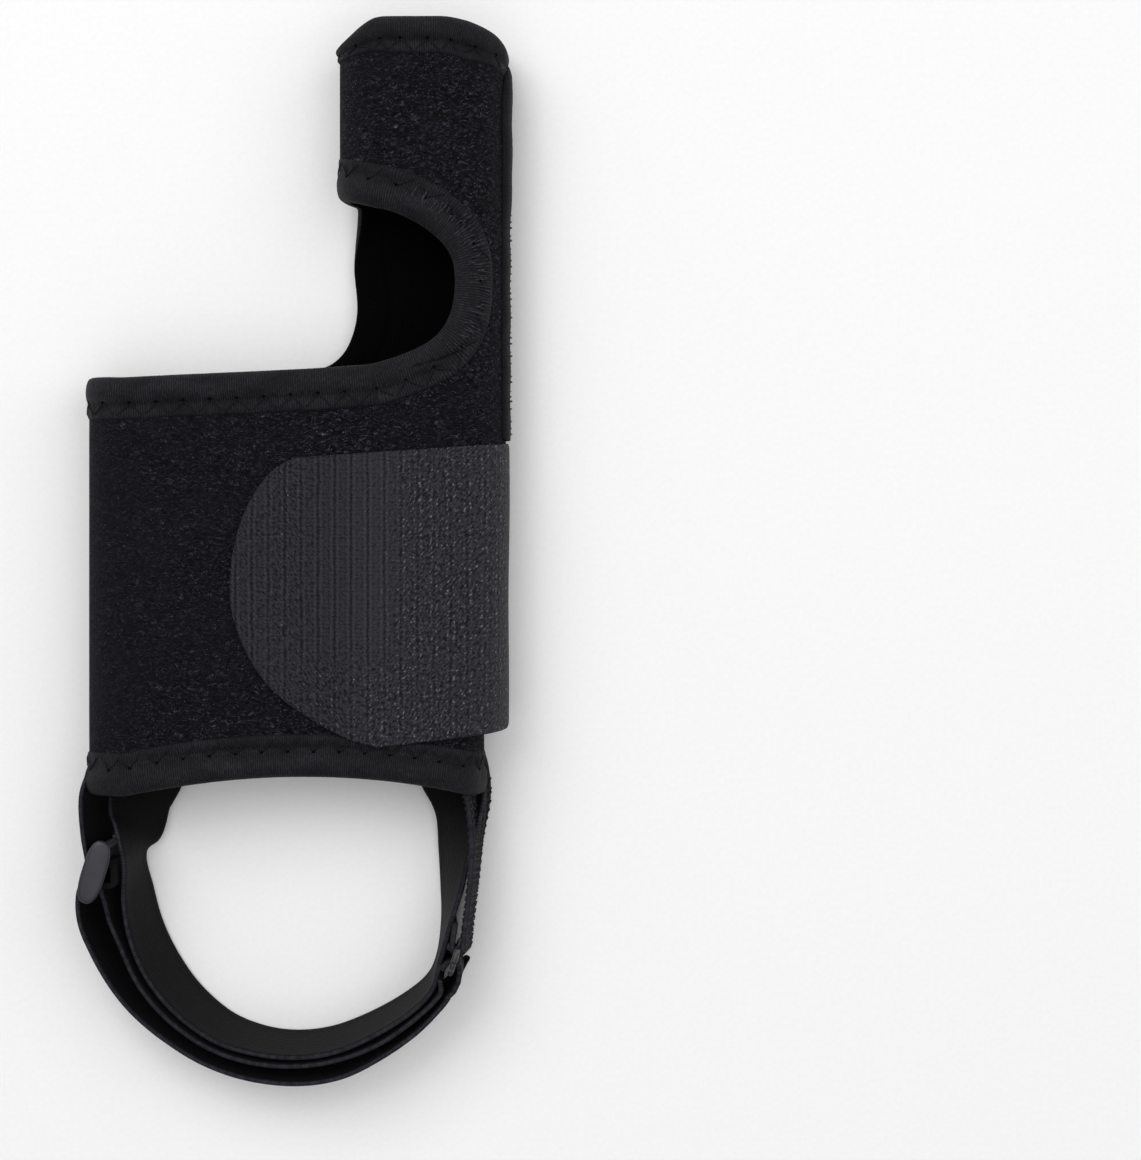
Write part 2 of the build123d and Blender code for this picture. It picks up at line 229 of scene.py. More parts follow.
def cut_loop(step):
    """The closed edge round the cut-out, as (w, y, offset) with the cloth on the left hand.

    It runs up the front edge, round the toe sleeve to the back, down the back edge and round
    the foot sleeve. The w of a ring starts again at the back, so offset keeps it running on.
    """
    turn, close = 2 * TOE_HALF, 2 * TOE_HALF - 2 * FOOT_HALF
    toe = np.linspace(W_FRONT_HIGH, turn + W_BACK_HIGH, 60)
    foot = np.linspace(2 * FOOT_HALF + W_BACK_LOW, W_FRONT_LOW, 140)
    front = through([(across(x), y) for x, y in FRONT_CUT], 70)
    back = through([(-across(x), y) for x, y in BACK_CUT[::-1]], 50)
    w = np.r_[front[:-1, 0], toe[:-1], back[:-1, 0] + turn, foot[:-1] + close]
    y = np.r_[front[:-1, 1], toe_bottom_at(toe[:-1]), back[:-1, 1], foot_top_at(foot[:-1])]
    offset = np.concatenate([np.full(len(part) - 1, value) for part, value in
                             ((front, 0.0), (toe, 0.0), (back, turn), (foot, close))])
    w, y, offset = np.r_[w, w[0] + close], np.r_[y, y[0]], np.r_[offset, close]
    far = length_along(w, y)
    count = int(far[-1] / step)
    want = np.linspace(0, far[-1], count, endpoint=False)
    w, y = np.interp(want, far, w), np.interp(want, far, y)
    offset = offset[np.clip(np.searchsorted(far, want, "right") - 1, 0, len(offset) - 1)]
    return soften(w, close, step), soften(y, 0.0, step), offset


def soften(values, climb, step, reach=2.4):
    """A closed path's values averaged over a short reach, so that corners turn softly."""
    half = int(reach / step)
    padded = np.r_[values[-half:] - climb, values, values[:half] + climb]
    kernel = np.hanning(2 * half + 3)[1:-1]
    return np.convolve(padded, kernel / kernel.sum(), "valid")


def pinch(w, y):
    """Stitching draws the laminate in: a dip along each seam, which lies SEAM_IN from its edge."""
    def dent(distance):
        return np.exp(-(distance / DENT_REACH) ** 2)

    w = np.where(np.asarray(w) > FOOT_HALF, w - 2 * FOOT_HALF, w)
    dip = 0.75 * dent(y - FOOT_BOTTOM - SEAM_IN) + 0.75 * dent(y - TOE_TOP + SEAM_IN)
    in_foot = (w > W_FRONT_LOW) | (w < W_BACK_LOW)
    dip = dip + np.where(in_foot, 0.7 * dent(y - SEAM_TOP_Y), 0)
    front = np.array([(py, across(px)) for px, py in FRONT_CUT])
    back = np.array([(py, -across(px)) for px, py in BACK_CUT])
    beside = np.interp(y, front[:, 0], front[:, 1]) - w
    behind = w - np.interp(y, back[:, 0], back[:, 1])
    in_neck = ease((y - 40) / 6) * ease((84 - y) / 6)
    return dip + 0.7 * in_neck * (dent(beside - SEAM_IN) + dent(behind - SEAM_IN))


# ---- meshes ---------------------------------------------------------------------------------
def grid_faces(rows, columns, wrap_rows=False, wrap_columns=False):
    """Quads of a grid whose vertices are numbered row by row."""
    r = np.arange(rows if wrap_rows else rows - 1)
    c = np.arange(columns if wrap_columns else columns - 1)
    rr, cc = np.meshgrid(r, c, indexing="ij")
    r2, c2 = (rr + 1) % rows, (cc + 1) % columns
    quads = np.stack([rr * columns + cc, rr * columns + c2, r2 * columns + c2, r2 * columns + cc], -1)
    return quads.reshape(-1, 4)


def new_piece(name, points, faces, materials, uv=None):
    """A mesh object from points in millimetres; uv holds one pair, in millimetres, per vertex."""
    mesh = bpy.data.meshes.new(name)
    points = np.asarray(points, float).reshape(-1, 3) * MM
    mesh.from_pydata([], [], [])
    mesh.vertices.add(len(points))
    mesh.vertices.foreach_set("co", points.ravel())
    faces = np.asarray(faces, np.int32)
    mesh.loops.add(faces.size)
    mesh.loops.foreach_set("vertex_index", faces.ravel())
    mesh.polygons.add(len(faces))
    mesh.polygons.foreach_set("loop_start", np.arange(0, faces.size, faces.shape[1], dtype=np.int32))
    mesh.update(calc_edges=True)
    mesh.validate()
    if uv is not None:
        layer = mesh.uv_layers.new(name="cloth")
        index = np.zeros(len(mesh.loops), np.int32)
        mesh.loops.foreach_get("vertex_index", index)
        layer.data.foreach_set("uv", (np.asarray(uv, float).reshape(-1, 2)[index]).ravel())
    mesh.polygons.foreach_set("use_smooth", np.ones(len(mesh.polygons), bool))
    for material in materials:
        mesh.materials.append(material)
    piece = bpy.data.objects.new(name, mesh)
    bpy.context.scene.collection.objects.link(piece)
    return piece


def join_grids(grids):
    """Several point grids as one list of points, faces and cloth coordinates."""
    points, faces, uv, start = [], [], [], 0
    for p, t, flip in grids:
        rows, columns = p.shape[:2]
        f = grid_faces(rows, columns)
        points.append(p.reshape(-1, 3))
        uv.append(t.reshape(-1, 2))
        faces.append((f[:, ::-1] if flip else f) + start)
        start += rows * columns
    return np.vstack(points), np.vstack(faces), np.vstack(uv)


def thicken(piece, thickness, inner=0):
    """Gives a sheet its thickness, in millimetres, inwards; its back and rim take a later material."""
    solid = piece.modifiers.new("thickness", "SOLIDIFY")
    solid.thickness, solid.offset = thickness * MM, -1.0
    solid.material_offset = solid.material_offset_rim = inner
    return solid


def weld(piece, distance):
    """Joins vertices that share a place."""
    bm = bmesh.new()
    bm.from_mesh(piece.data)
    bmesh.ops.remove_doubles(bm, verts=bm.verts, dist=distance * MM)
    bm.to_mesh(piece.data)
    bm.free()
    return piece


# ---- materials ------------------------------------------------------------------------------
TAB_CALM_W = 43.0         # cloth coordinate of the tab's smooth middle
WAVE_UNIT = math.pi / 10  # the wave texture repeats every 2 pi / 20 units at scale 1
ALONG = 1e3               # a size so long that a pattern doesn't change along that axis


def linear(hex_colour, alpha=1.0):
    """An sRGB hex string as Blender's linear colour."""
    value = [int(hex_colour[i:i + 2], 16) / 255 for i in (1, 3, 5)]
    return tuple([v / 12.92 if v <= 0.04045 else ((v + 0.055) / 1.055) ** 2.4 for v in value] + [alpha])


def to_hex(colour):
    """A property's display colour as the sRGB hex string that linear() reads."""
    return "#" + "".join(f"{int(round(255 * c)):02x}" for c in colour[:3])


def add(tree, kind, settings=None, **links):
    """One node with its settings, and its inputs linked or set by name, or as i0, i1 by number."""
    node = tree.nodes.new(kind)
    for key, value in (settings or {}).items():
        setattr(node, key, value)
    for name, value in links.items():
        slot = node.inputs[int(name[1:]) if name[1:].isdigit() else name.replace("_", " ")]
        if isinstance(value, bpy.types.NodeSocket):
            tree.links.new(value, slot)
        else:
            slot.default_value = value
    return node


def cloth_base(name, roughness, sheen, specular, sheen_roughness=0.5):
    """A new material and its shader."""
    material = bpy.data.materials.new(name)
    material.use_nodes = True
    shader = material.node_tree.nodes["Principled BSDF"]
    for key, value in (("Roughness", roughness), ("Sheen Weight", sheen),
                       ("Sheen Roughness", sheen_roughness), ("Specular IOR Level", specular)):
        shader.inputs[key].default_value = value
    return material, shader


def cloth_uv(shader):
    """The cloth coordinates, in millimetres."""
    return add(shader.id_data, "ShaderNodeUVMap", {"uv_map": "cloth"}).outputs["UV"]


def place_of(shader):
    """Object coordinates, in metres."""
    return add(shader.id_data, "ShaderNodeTexCoord").outputs["Object"]


def axis_of(source, axis):
    return add(source.id_data, "ShaderNodeSeparateXYZ", None, Vector=source).outputs[axis]


def compute(operation, a, b=0.5):
    """A math node on two values, at least one of them a socket."""
    tree = (a if isinstance(a, bpy.types.NodeSocket) else b).id_data
    return add(tree, "ShaderNodeMath", {"operation": operation}, i0=a, i1=b).outputs[0]


def plus(a, b):
    return compute("ADD", a, b)


def minus(a, b):
    return compute("SUBTRACT", a, b)


def times(a, b):
    return compute("MULTIPLY", a, b)


def vector_math(operation, source, *others):
    links = {f"i{k}": value for k, value in enumerate((source, *others))}
    return add(source.id_data, "ShaderNodeVectorMath", {"operation": operation}, **links).outputs[0]


def scaled(source, sizes):
    """Coordinates divided so that one unit is the given length along each axis."""
    return vector_math("MULTIPLY", source, tuple(1.0 / size for size in sizes))


def map_range(value, low, high, to=(0.0, 1.0), smooth=False):
    settings = {"interpolation_type": "SMOOTHSTEP"} if smooth else None
    return add(value.id_data, "ShaderNodeMapRange", settings, Value=value, From_Min=low, From_Max=high,
               To_Min=to[0], To_Max=to[1]).outputs[0]


def noise(source, sizes=None, output="Fac", **settings):
    """A noise texture whose grain is sizes long, or with its own Scale."""
    links = {"Vector": scaled(source, sizes), "Scale": 1.0} if sizes else {"Vector": source}
    return add(source.id_data, "ShaderNodeTexNoise", None, **links, **settings).outputs[output]


def bands(source, pitch, axis="X", distortion=0.0):
    """Parallel ridges of the given pitch, in the units of the coordinates."""
    sizes = (pitch, ALONG, 1.0) if axis == "X" else (ALONG, pitch, 1.0)
    return add(source.id_data, "ShaderNodeTexWave", {"wave_type": "BANDS", "bands_direction": axis},
               Vector=scaled(source, sizes), Scale=WAVE_UNIT, Distortion=distortion, Detail=1.0).outputs["Fac"]


def ramp(factor, stops):
    """A colour ramp from (place, hex) stops."""
    node = add(factor.id_data, "ShaderNodeValToRGB", None, i0=factor)
    elements = node.color_ramp.elements
    elements[0].position, elements[0].color = stops[0][0], linear(stops[0][1])
    elements[1].position, elements[1].color = stops[-1][0], linear(stops[-1][1])
    for place, colour in stops[1:-1]:
        elements.new(place).color = linear(colour)
    return node.outputs["Color"]


def dress(shader, colour, height, strength, distance):
    """Links a colour and a relief, distance metres deep, to the shader."""
    tree = shader.id_data
    normal = add(tree, "ShaderNodeBump", None, Height=height, Strength=strength, Distance=distance)
    tree.links.new(colour, shader.inputs["Base Color"])
    tree.links.new(normal.outputs["Normal"], shader.inputs["Normal"])


def plush_material(dark, light):
    """Brushed loop plush: knit loops raised and brushed into short curling strokes, with painted glints at the loop
    ends.

    A stroke is about 0.5 by 1.8 mm. The pile is flatter towards the foot sleeve's left side.
    """
    material, shader = cloth_base("brushed_loop_plush", 0.84, 0.01, 0.09)
    mm = add(shader.id_data, "ShaderNodeVectorMath", {"operation": "SCALE"},
             i0=place_of(shader), Scale=1000.0).outputs[0]
    drift = noise(mm, (3.5, 3.5, 3.5), "Color", Detail=1.0)
    bent = vector_math("MULTIPLY_ADD", drift, (3.0, 3.2, 3.0), mm)
    strokes = noise(bent, (1.2, 0.48, 0.6), Detail=2.0, Roughness=0.55, Distortion=0.9)
    ends = add(shader.id_data, "ShaderNodeTexVoronoi", None, Vector=scaled(bent, (1.1, 0.8, 0.9)), Scale=1.0)
    side = map_range(axis_of(mm, "X"), -45.0, 22.0, (0.42, 0.95))
    depth = map_range(noise(mm, (15, 22, 15), Detail=3.0), 0.35, 0.65, (0.6, 1.25))
    pile = times(side, depth)
    tone = plus(times(minus(strokes, 0.5), pile), 0.5)
    body = ramp(tone, [(0.36, "#040405"), (0.47, dark), (0.55, light), (0.66, "#393942")])
    # Painted glints: pale specks mixed into the colour at the loop ends, fewer where the pile is flatter.
    glint_mask = map_range(ends.outputs["Distance"], 0.20, 0.07)
    painted_glint = times(times(glint_mask, pile), 0.42)
    mixed = add(shader.id_data, "ShaderNodeMix", {"data_type": "RGBA"}, i0=painted_glint, i6=body, i7=linear("#83838c"))
    dress(shader, mixed.outputs[2], tone, 1.0, 0.0022)
    return material


def knit_material(name, colour, highlight, course, wale=0.0, roughness=0.72, specular=0.14):
    """Fine flat knit: close courses across the cloth and, when wale is set, wales along it."""
    material, shader = cloth_base(name, roughness, specular / 7, specular)
    uv = cloth_uv(shader)
    relief = plus(times(bands(uv, course, "Y", 0.5), 0.35), noise(uv, (0.9, 0.4, 1), Detail=3.0))
    if wale:
        relief = plus(relief, times(bands(uv, wale), 0.3))
    tone = times(relief, plus(noise(uv, (5, 9, 1), Detail=3.0), 0.45))
    dress(shader, ramp(tone, [(0.35, "#0b0b0d"), (0.6, colour), (1.0, highlight)]), relief, 0.5, 0.0004)
    return material


def rib_material(name, dark, colour, highlight, sparkle, rib, stitch):
    """Warp-knit loop tape: fine upright ribs of chain stitch, with pebbly loops outside the middle, painted with
    highlight on their tops and shade between.

    The loops lean one way on the left side and the other way on the right.
    """
    material, shader = cloth_base(name, 0.6, 0.01, 0.2)
    tree, uv = shader.id_data, cloth_uv(shader)
    x = axis_of(uv, "X")
    drift = noise(uv, (7, 7, 1), "Color", Detail=2.0)
    bent = vector_math("MULTIPLY_ADD", drift, (3.0, 3.4, 0.0), uv)
    near = vector_math("MULTIPLY_ADD", drift, (0.6, 0.8, 0.0), uv)
    outside = map_range(compute("ABSOLUTE", minus(x, TAB_CALM_W)), 5.0, 16.0, (0.3, 1.0), smooth=True)
    below = map_range(axis_of(uv, "Y"), -14.0, -32.0, smooth=True)
    loose = times(compute("MAXIMUM", outside, below), map_range(x, 50.0, 66.0, (1.0, 0.5)))
    cells = add(tree, "ShaderNodeTexVoronoi", {"voronoi_dimensions": "2D"}, Scale=1.0, Randomness=0.85,
                Vector=scaled(bent, (rib * 0.62, stitch * 0.72, 1)))
    pebble = minus(0.42, cells.outputs["Distance"])
    leftward = map_range(x, 36.0, 48.0, smooth=True)
    leans = []
    for angle in (0.65, -0.65):
        turned = add(tree, "ShaderNodeVectorRotate", {"rotation_type": "Z_AXIS"}, Vector=uv, Angle=angle)
        leans.append(noise(turned.outputs[0], (0.42, 1.5, 1), Detail=1.5))
    crimp = plus(leans[1], times(minus(leans[0], leans[1]), leftward))
    # Painted highlight on the pebbly loop tops and painted shade between them.
    tone = plus(times(times(pebble, loose), 0.5), 0.5)
    tone = plus(tone, times(times(minus(crimp, 0.5), loose), 1.2))
    # Painted shade: the tone is lowered towards the tab's left side.
    tone = minus(tone, times(leftward, 0.07))
    ruled = minus(1.15, times(loose, 0.55))
    for part, middle, weight in ((bands(near, rib), 0.5, 0.2),
                                 (compute("POWER", bands(near, 1.5 * rib), 0.25), 0.8, 0.2),
                                 (bands(near, stitch * 0.8, "Y"), 0.5, 0.06)):
        tone = plus(tone, times(times(minus(part, middle), weight), ruled))
    tone = plus(tone, times(minus(noise(uv, (0.45, 0.35, 1), Detail=3.0), 0.5), 0.7))
    # The ramp's upper stops are painted highlight and painted sparkle.
    dress(shader, ramp(tone, [(0.24, dark), (0.46, colour), (0.72, highlight), (1.0, sparkle)]), tone, 0.8, 0.0009)
    return material


def webbing_material(colour, highlight):
    """Woven elastic webbing: fine lengthwise ribs, close picks across, and a painted highlight along both selvedges.
    """
    material, shader = cloth_base("woven_elastic_webbing", 0.66, 0.01, 0.10)
    uv = cloth_uv(shader)
    relief = plus(times(bands(uv, 1.0), 0.26), times(bands(uv, 0.6, "Y", 0.5), 0.2))
    relief = plus(relief, times(noise(uv, (0.6, 1.4, 1), Detail=3.0), 0.75))
    # Painted highlight: the colour is lightened along both selvedges.
    edge = map_range(compute("ABSOLUTE", axis_of(uv, "X")), WEB_HALF - 0.9, WEB_HALF)
    tone = plus(times(relief, 0.45), times(edge, 0.5))
    dress(shader, ramp(tone, [(0.15, colour), (0.6, highlight), (0.95, "#3e3e46")]), relief, 0.45, 0.0003)
    return material


def thread_material(colour, name="polyester_thread"):
    """Twisted polyester thread: a fine diagonal twist, a little brighter than cloth."""
    material, shader = cloth_base(name, 0.6, 0.02, 0.12)
    twist = noise(place_of(shader), Scale=2600.0, Detail=2.0)
    dress(shader, ramp(twist, [(0.3, "#111114"), (0.7, colour)]), twist, 0.4, 0.0002)
    return material


def acetal_material(colour):
    """Moulded acetal: smooth satin plastic with faint flow marks."""
    material, shader = cloth_base("moulded_acetal", 0.38, 0.0, 0.5)
    where = place_of(shader)
    flow = noise(where, Scale=260.0, Detail=5.0)
    grit = noise(where, Scale=1900.0, Detail=2.0)
    shader.id_data.links.new(map_range(flow, 0.0, 1.0, (0.32, 0.5)), shader.inputs["Roughness"])
    dress(shader, ramp(flow, [(0.3, "#26262f"), (0.75, colour)]), grit, 0.12, 0.0002)
    return material


def wire_material():
    """Coated steel wire: dark lacquer with a soft gleam and small chips."""
    material, shader = cloth_base("coated_steel_wire", 0.3, 0.0, 0.5)
    chips = noise(place_of(shader), Scale=900.0, Detail=4.0)
    dress(shader, ramp(chips, [(0.55, "#18181b"), (0.78, "#6c6c70")]), chips, 0.2, 0.0001)
    return material


def paper_material(colour):
    """Matt studio paper with a faint grain."""
    material, shader = cloth_base("matt_studio_paper", 0.9, 0.0, 0.1)
    grain = noise(place_of(shader), Scale=900.0, Detail=3.0)
    dress(shader, ramp(grain, [(0.2, colour), (0.8, "#ffffff")]), grain, 0.05, 0.0001)
    return material


# ---- the laminate ---------------------------------------------------------------------------
def blend_toe(piece):
    """Bakes a piece's placement into its mesh."""
    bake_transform(piece)


def blend_heel(piece):
    """Bakes a strap's placement into its mesh."""
    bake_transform(piece)


def make_laminate(plush, lining):
    """One skin of three grids: the right side from foot to toe, and each sleeve's left side."""
    rows_foot, rows_neck, rows_toe, step = 92, 40, 40, 1.15
    t = np.linspace(0, 1, rows_foot)[:, None]
    low_w = np.linspace(W_BACK_LOW, W_FRONT_LOW, int((W_FRONT_LOW - W_BACK_LOW) / step))[None, :]
    top = np.interp(low_w, [W_BACK_LOW, W_FRONT_LOW], [43.0, 43.1])
    foot = (low_w + 0 * t, foot_bottom_at(low_w) * (1 - t) + top * t)
    u = (low_w - W_BACK_LOW) / (W_FRONT_LOW - W_BACK_LOW)
    front = through([(across(x), y) for x, y in FRONT_CUT], rows_neck)[1:]
    back = through([(-across(x), y) for x, y in BACK_CUT], rows_neck)[1:]
    neck = [back[:, k:k + 1] * (1 - u) + front[:, k:k + 1] * u for k in (0, 1)]
    t_toe = np.linspace(0, 1, rows_toe)[1:, None]
    high_w = W_BACK_HIGH * (1 - u) + W_FRONT_HIGH * u
    start = 83.5 * (1 - u) + 81.6 * u
    toe = (high_w + 0 * t_toe, start * (1 - t_toe) + toe_top_at(high_w) * t_toe)
    w = np.vstack([foot[0], neck[0], toe[0]])
    y = np.vstack([foot[1], neck[1], toe[1]])
    left_w = np.linspace(W_FRONT_LOW, 2 * FOOT_HALF + W_BACK_LOW, 118)[None, :]
    left_y = foot_bottom_at(left_w) * (1 - t) + foot_top_at(left_w) * t
    toe_w = np.linspace(W_FRONT_HIGH, 2 * TOE_HALF + W_BACK_HIGH, 24)[None, :]
    t_toe = np.linspace(0, 1, rows_toe)[:, None]
    toe_y = toe_bottom_at(toe_w) * (1 - t_toe) + toe_top_at(toe_w) * t_toe
    grids = []
    for gw, gy in ((w, y), (left_w + 0 * t, left_y), (toe_w + 0 * t_toe, toe_y)):
        grids.append((skin(gw, gy), np.stack([gw, gy], -1), True))
    points, faces, uv = join_grids(grids)
    piece = new_piece("sleeve_laminate", points, faces, [plush, lining], uv)
    weld(piece, 0.15)
    thicken(piece, WALL, inner=1).use_even_offset = False
    blend_toe(piece)
    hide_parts("foot_front_panel", "foot_back_panel", "foot_lining", "toe_front_panel",
                "toe_back_panel", "toe_lining", "neck_panel")
    return piece


# ---- bindings and stitches ------------------------------------------------------------------
# The tape's cross-section: distance into the cloth from its edge, and lift above the cloth.
TAPE = [(9.4, -0.45), (9.35, 0.15), (9.0, 0.55), (8.2, 0.74), (7.2, 0.62), (6.5, 0.36), (6.0, 0.36), (5.4, 0.8),
        (4.5, 1.38), (3.2, 1.72), (1.9, 1.62), (0.7, 1.1), (-0.3, 0.2), (-0.75, -0.8), (-0.8, -1.8), (-0.3, -2.7),
        (0.8, -3.15), (2.6, -3.3), (4.8, -3.2), (6.6, -3.0), (7.2, -2.7)]


TAPE_STEP = 0.6          # between the tape's sections along its edge
PUCKER_PITCH = 3.1       # between the small gathers a zigzag makes
ZIGZAG_PITCH = 6.2       # between two needle holes


def fold_share(w, y):
    """1 on the side folds and 0 on the flats."""
    s = np.abs(np.where(w > FOOT_HALF, w - 2 * FOOT_HALF, w))
    half = np.where(y > (FOOT_TOP + TOE_BOTTOM) / 2, TOE_HALF, FOOT_HALF)
    return np.clip(np.maximum(1 - s / FOLD_ARC, (s - half + FOLD_ARC) / FOLD_ARC), 0, 1)


def inward(w, y, closed_by, side=1.0):
    """Unit direction into the cloth along a closed (w, y) path, which it keeps on its left."""
    tw = np.roll(w, -1) - np.roll(w, 1)
    ty = np.roll(y, -1) - np.roll(y, 1)
    tw[0] += closed_by
    tw[-1] += closed_by
    size = np.hypot(tw, ty) + 1e-12
    return -ty / size * side, tw / size * side


def make_tape(name, w, y, offset, closed_by, side, width, material, inner, seed):
    """The tape's section carried along a closed edge: P(s, a) = skin(edge + a * inward, lift)."""
    nw, ny = inward(w, y, closed_by, side)
    section = through(TAPE, 40)
    lift = section[:, 1]
    count = len(w)
    a = section[None, :, 0] * np.broadcast_to(width, count)[:, None] / TAPE[0][0]
    s = np.arange(count) * (2 * np.pi / count)
    periods = round(length_along(w, y)[-1] / PUCKER_PITCH)
    rng = np.random.default_rng(seed)
    puff = sum(0.06 * np.sin(k * s + rng.uniform(0, 6.3)) for k in (5, 9, 14, 23, 31))
    pull = 0.16 * np.cos(periods * s)
    grow = 1 + puff[:, None] * np.exp(-((a - 2.6) / 3) ** 2)
    grid_w = (w - offset)[:, None] + a * nw[:, None]
    fold = fold_share(grid_w, y[:, None])
    outer = np.where(lift > 0, 1.0, 0.0)[None, :]
    high = lift[None, :] * grow * (1 - 0.55 * fold * outer)
    high = high + pull[:, None] * np.exp(-((a - 6.9) / 1.5) ** 2) * outer
    grid_y = y[:, None] + a * ny[:, None]
    points = skin(grid_w, grid_y, high)
    faces = grid_faces(count, len(lift), wrap_rows=True, wrap_columns=True)
    along = length_along(w, y)
    uv = np.stack(np.broadcast_arrays(a, along[:, None]), -1)
    piece = new_piece(name, points, faces if side > 0 else faces[:, ::-1], [material, inner], uv)
    # Painted shade: the tape's inner leg, inside the sleeve, takes the darker lining knit.
    inside = np.tile((lift < -1.6).astype(np.int32), count)
    piece.data.polygons.foreach_set("material_index", inside)
    return piece


def tubes(paths, radius, sides=6, name="thread", material=None):
    """Many short threads of the same number of points, each a round tube, as one piece."""
    p = np.asarray(paths, float)
    t = np.gradient(p, axis=1)
    t /= np.linalg.norm(t, axis=-1, keepdims=True) + 1e-12
    up = np.where(np.abs(t[..., 2:3]) > 0.9, np.array([1.0, 0, 0]), np.array([0, 0, 1.0]))
    a = np.cross(t, up)
    a /= np.linalg.norm(a, axis=-1, keepdims=True) + 1e-12
    b = np.cross(t, a)
    turn = np.linspace(0, 2 * np.pi, sides, endpoint=False)
    r = np.full(p.shape[1], radius)
    r[0] = r[-1] = radius * 0.05
    circle = (np.cos(turn)[None, None, :, None] * a[:, :, None, :]
              + np.sin(turn)[None, None, :, None] * b[:, :, None, :])
    loops = p[:, :, None, :] + r[None, :, None, None] * circle
    count, length = p.shape[:2]
    one = grid_faces(length, sides, wrap_columns=True)[:, ::-1]
    faces = (one[None] + (np.arange(count) * length * sides)[:, None, None]).reshape(-1, 4)
    return new_piece(name, loops.reshape(-1, 3), faces, [material])


def zigzag(w, y, offset, closed_by, side, width, period):
    """Threads that cross a tape from its outer row of holes to its inner row and back."""
    nw, ny = inward(w, y, closed_by, side)
    far = length_along(w, y)
    count = 2 * int(far[-1] / period)
    ends = np.linspace(0, far[-1], count + 1)
    f = np.linspace(0, 1, 9)[None, :]
    s = ends[:-1, None] * (1 - f) + ends[1:, None] * f
    even = (np.arange(count) % 2 == 0)[:, None]
    a = np.where(even, 5.4 * (1 - f) + 8.8 * f, 8.8 * (1 - f) + 5.4 * f)
    pick = lambda v: np.interp(s, far, v)
    index = np.clip(np.searchsorted(far, s), 0, len(w) - 1)
    narrow = np.broadcast_to(width, len(w))[index] / TAPE[0][0]
    ww = pick(w) - offset[index] + a * narrow * pick(nw)
    yy = pick(y) + a * narrow * pick(ny)
    high = np.interp(a, [5.0, 6.0, 7.0, 8.0, 9.0], [1.1, 0.62, 0.62, 0.70, 0.4])
    bow = 0.16 * np.sin(np.pi * f) + 0.06
    lift = high + bow - 0.5 * ((f < 0.06) | (f > 0.94))
    return skin(ww, yy, lift * (1 - 0.55 * fold_share(ww, yy)))


def needle_hole_shade(w, y, offset, closed_by, side, width, period):
    """Short dark plugs, painted shade of the needle holes where the thread dives into the tape, one a period."""
    nw, ny = inward(w, y, closed_by, side)
    far = length_along(w, y)
    s = (np.linspace(0, far[-1], int(far[-1] / period) + 1)[:-1])[:, None]
    index = np.clip(np.searchsorted(far, s), 0, len(w) - 1)
    row = 5.3 * np.broadcast_to(width, len(w))[index] / TAPE[0][0]
    ww = np.interp(s, far, w) - offset[index] + row * nw[index]
    yy = np.interp(s, far, y) + row * ny[index]
    return skin(ww, yy, np.array([[0.3, 0.6, 0.85, 1.0, 1.06]]) * (1 - 0.55 * fold_share(ww, yy)))


def whip(w, y, offset, closed_by, side):
    """Close short stitches across the tape where the cut-out's front edge curves."""
    nw, ny = inward(w, y, closed_by, side)
    rng = np.random.default_rng(17)
    curve = np.flatnonzero((offset == 0) & (y > 50) & (y < 79.5) & (w < W_FRONT_HIGH - 2))
    pick = rng.choice(curve, 90)[:, None]
    f = np.linspace(0, 1, 6)[None, :]
    start, length = rng.uniform(2.2, 6.0, (90, 1)), rng.uniform(1.6, 3.4, (90, 1))
    a = start + length * f
    slant = rng.uniform(-0.6, 0.6, (90, 1)) * f
    high = np.interp(a, [2.2, 4.1, 5.2, 6.1, 7.8, 9.3], [1.6, 1.42, 1.0, 0.66, 0.7, 0.4])
    return skin(w[pick] + a * nw[pick] + slant * ny[pick], y[pick] + a * ny[pick] - slant * nw[pick],
                high + 0.14 * np.sin(np.pi * f))


def sew(name, edge, width, thread, hole_shade_knit):
    """The zigzag and the needle holes of one tape; the holes are dark plugs of painted shade."""
    seam = tubes(zigzag(*edge, width, ZIGZAG_PITCH), 0.17, name=name + "_stitches", material=thread)
    holes = tubes(needle_hole_shade(*edge, width, ZIGZAG_PITCH), 0.42, name=name + "_needle_hole_shade", material=hole_shade_knit)
    return [seam, holes]


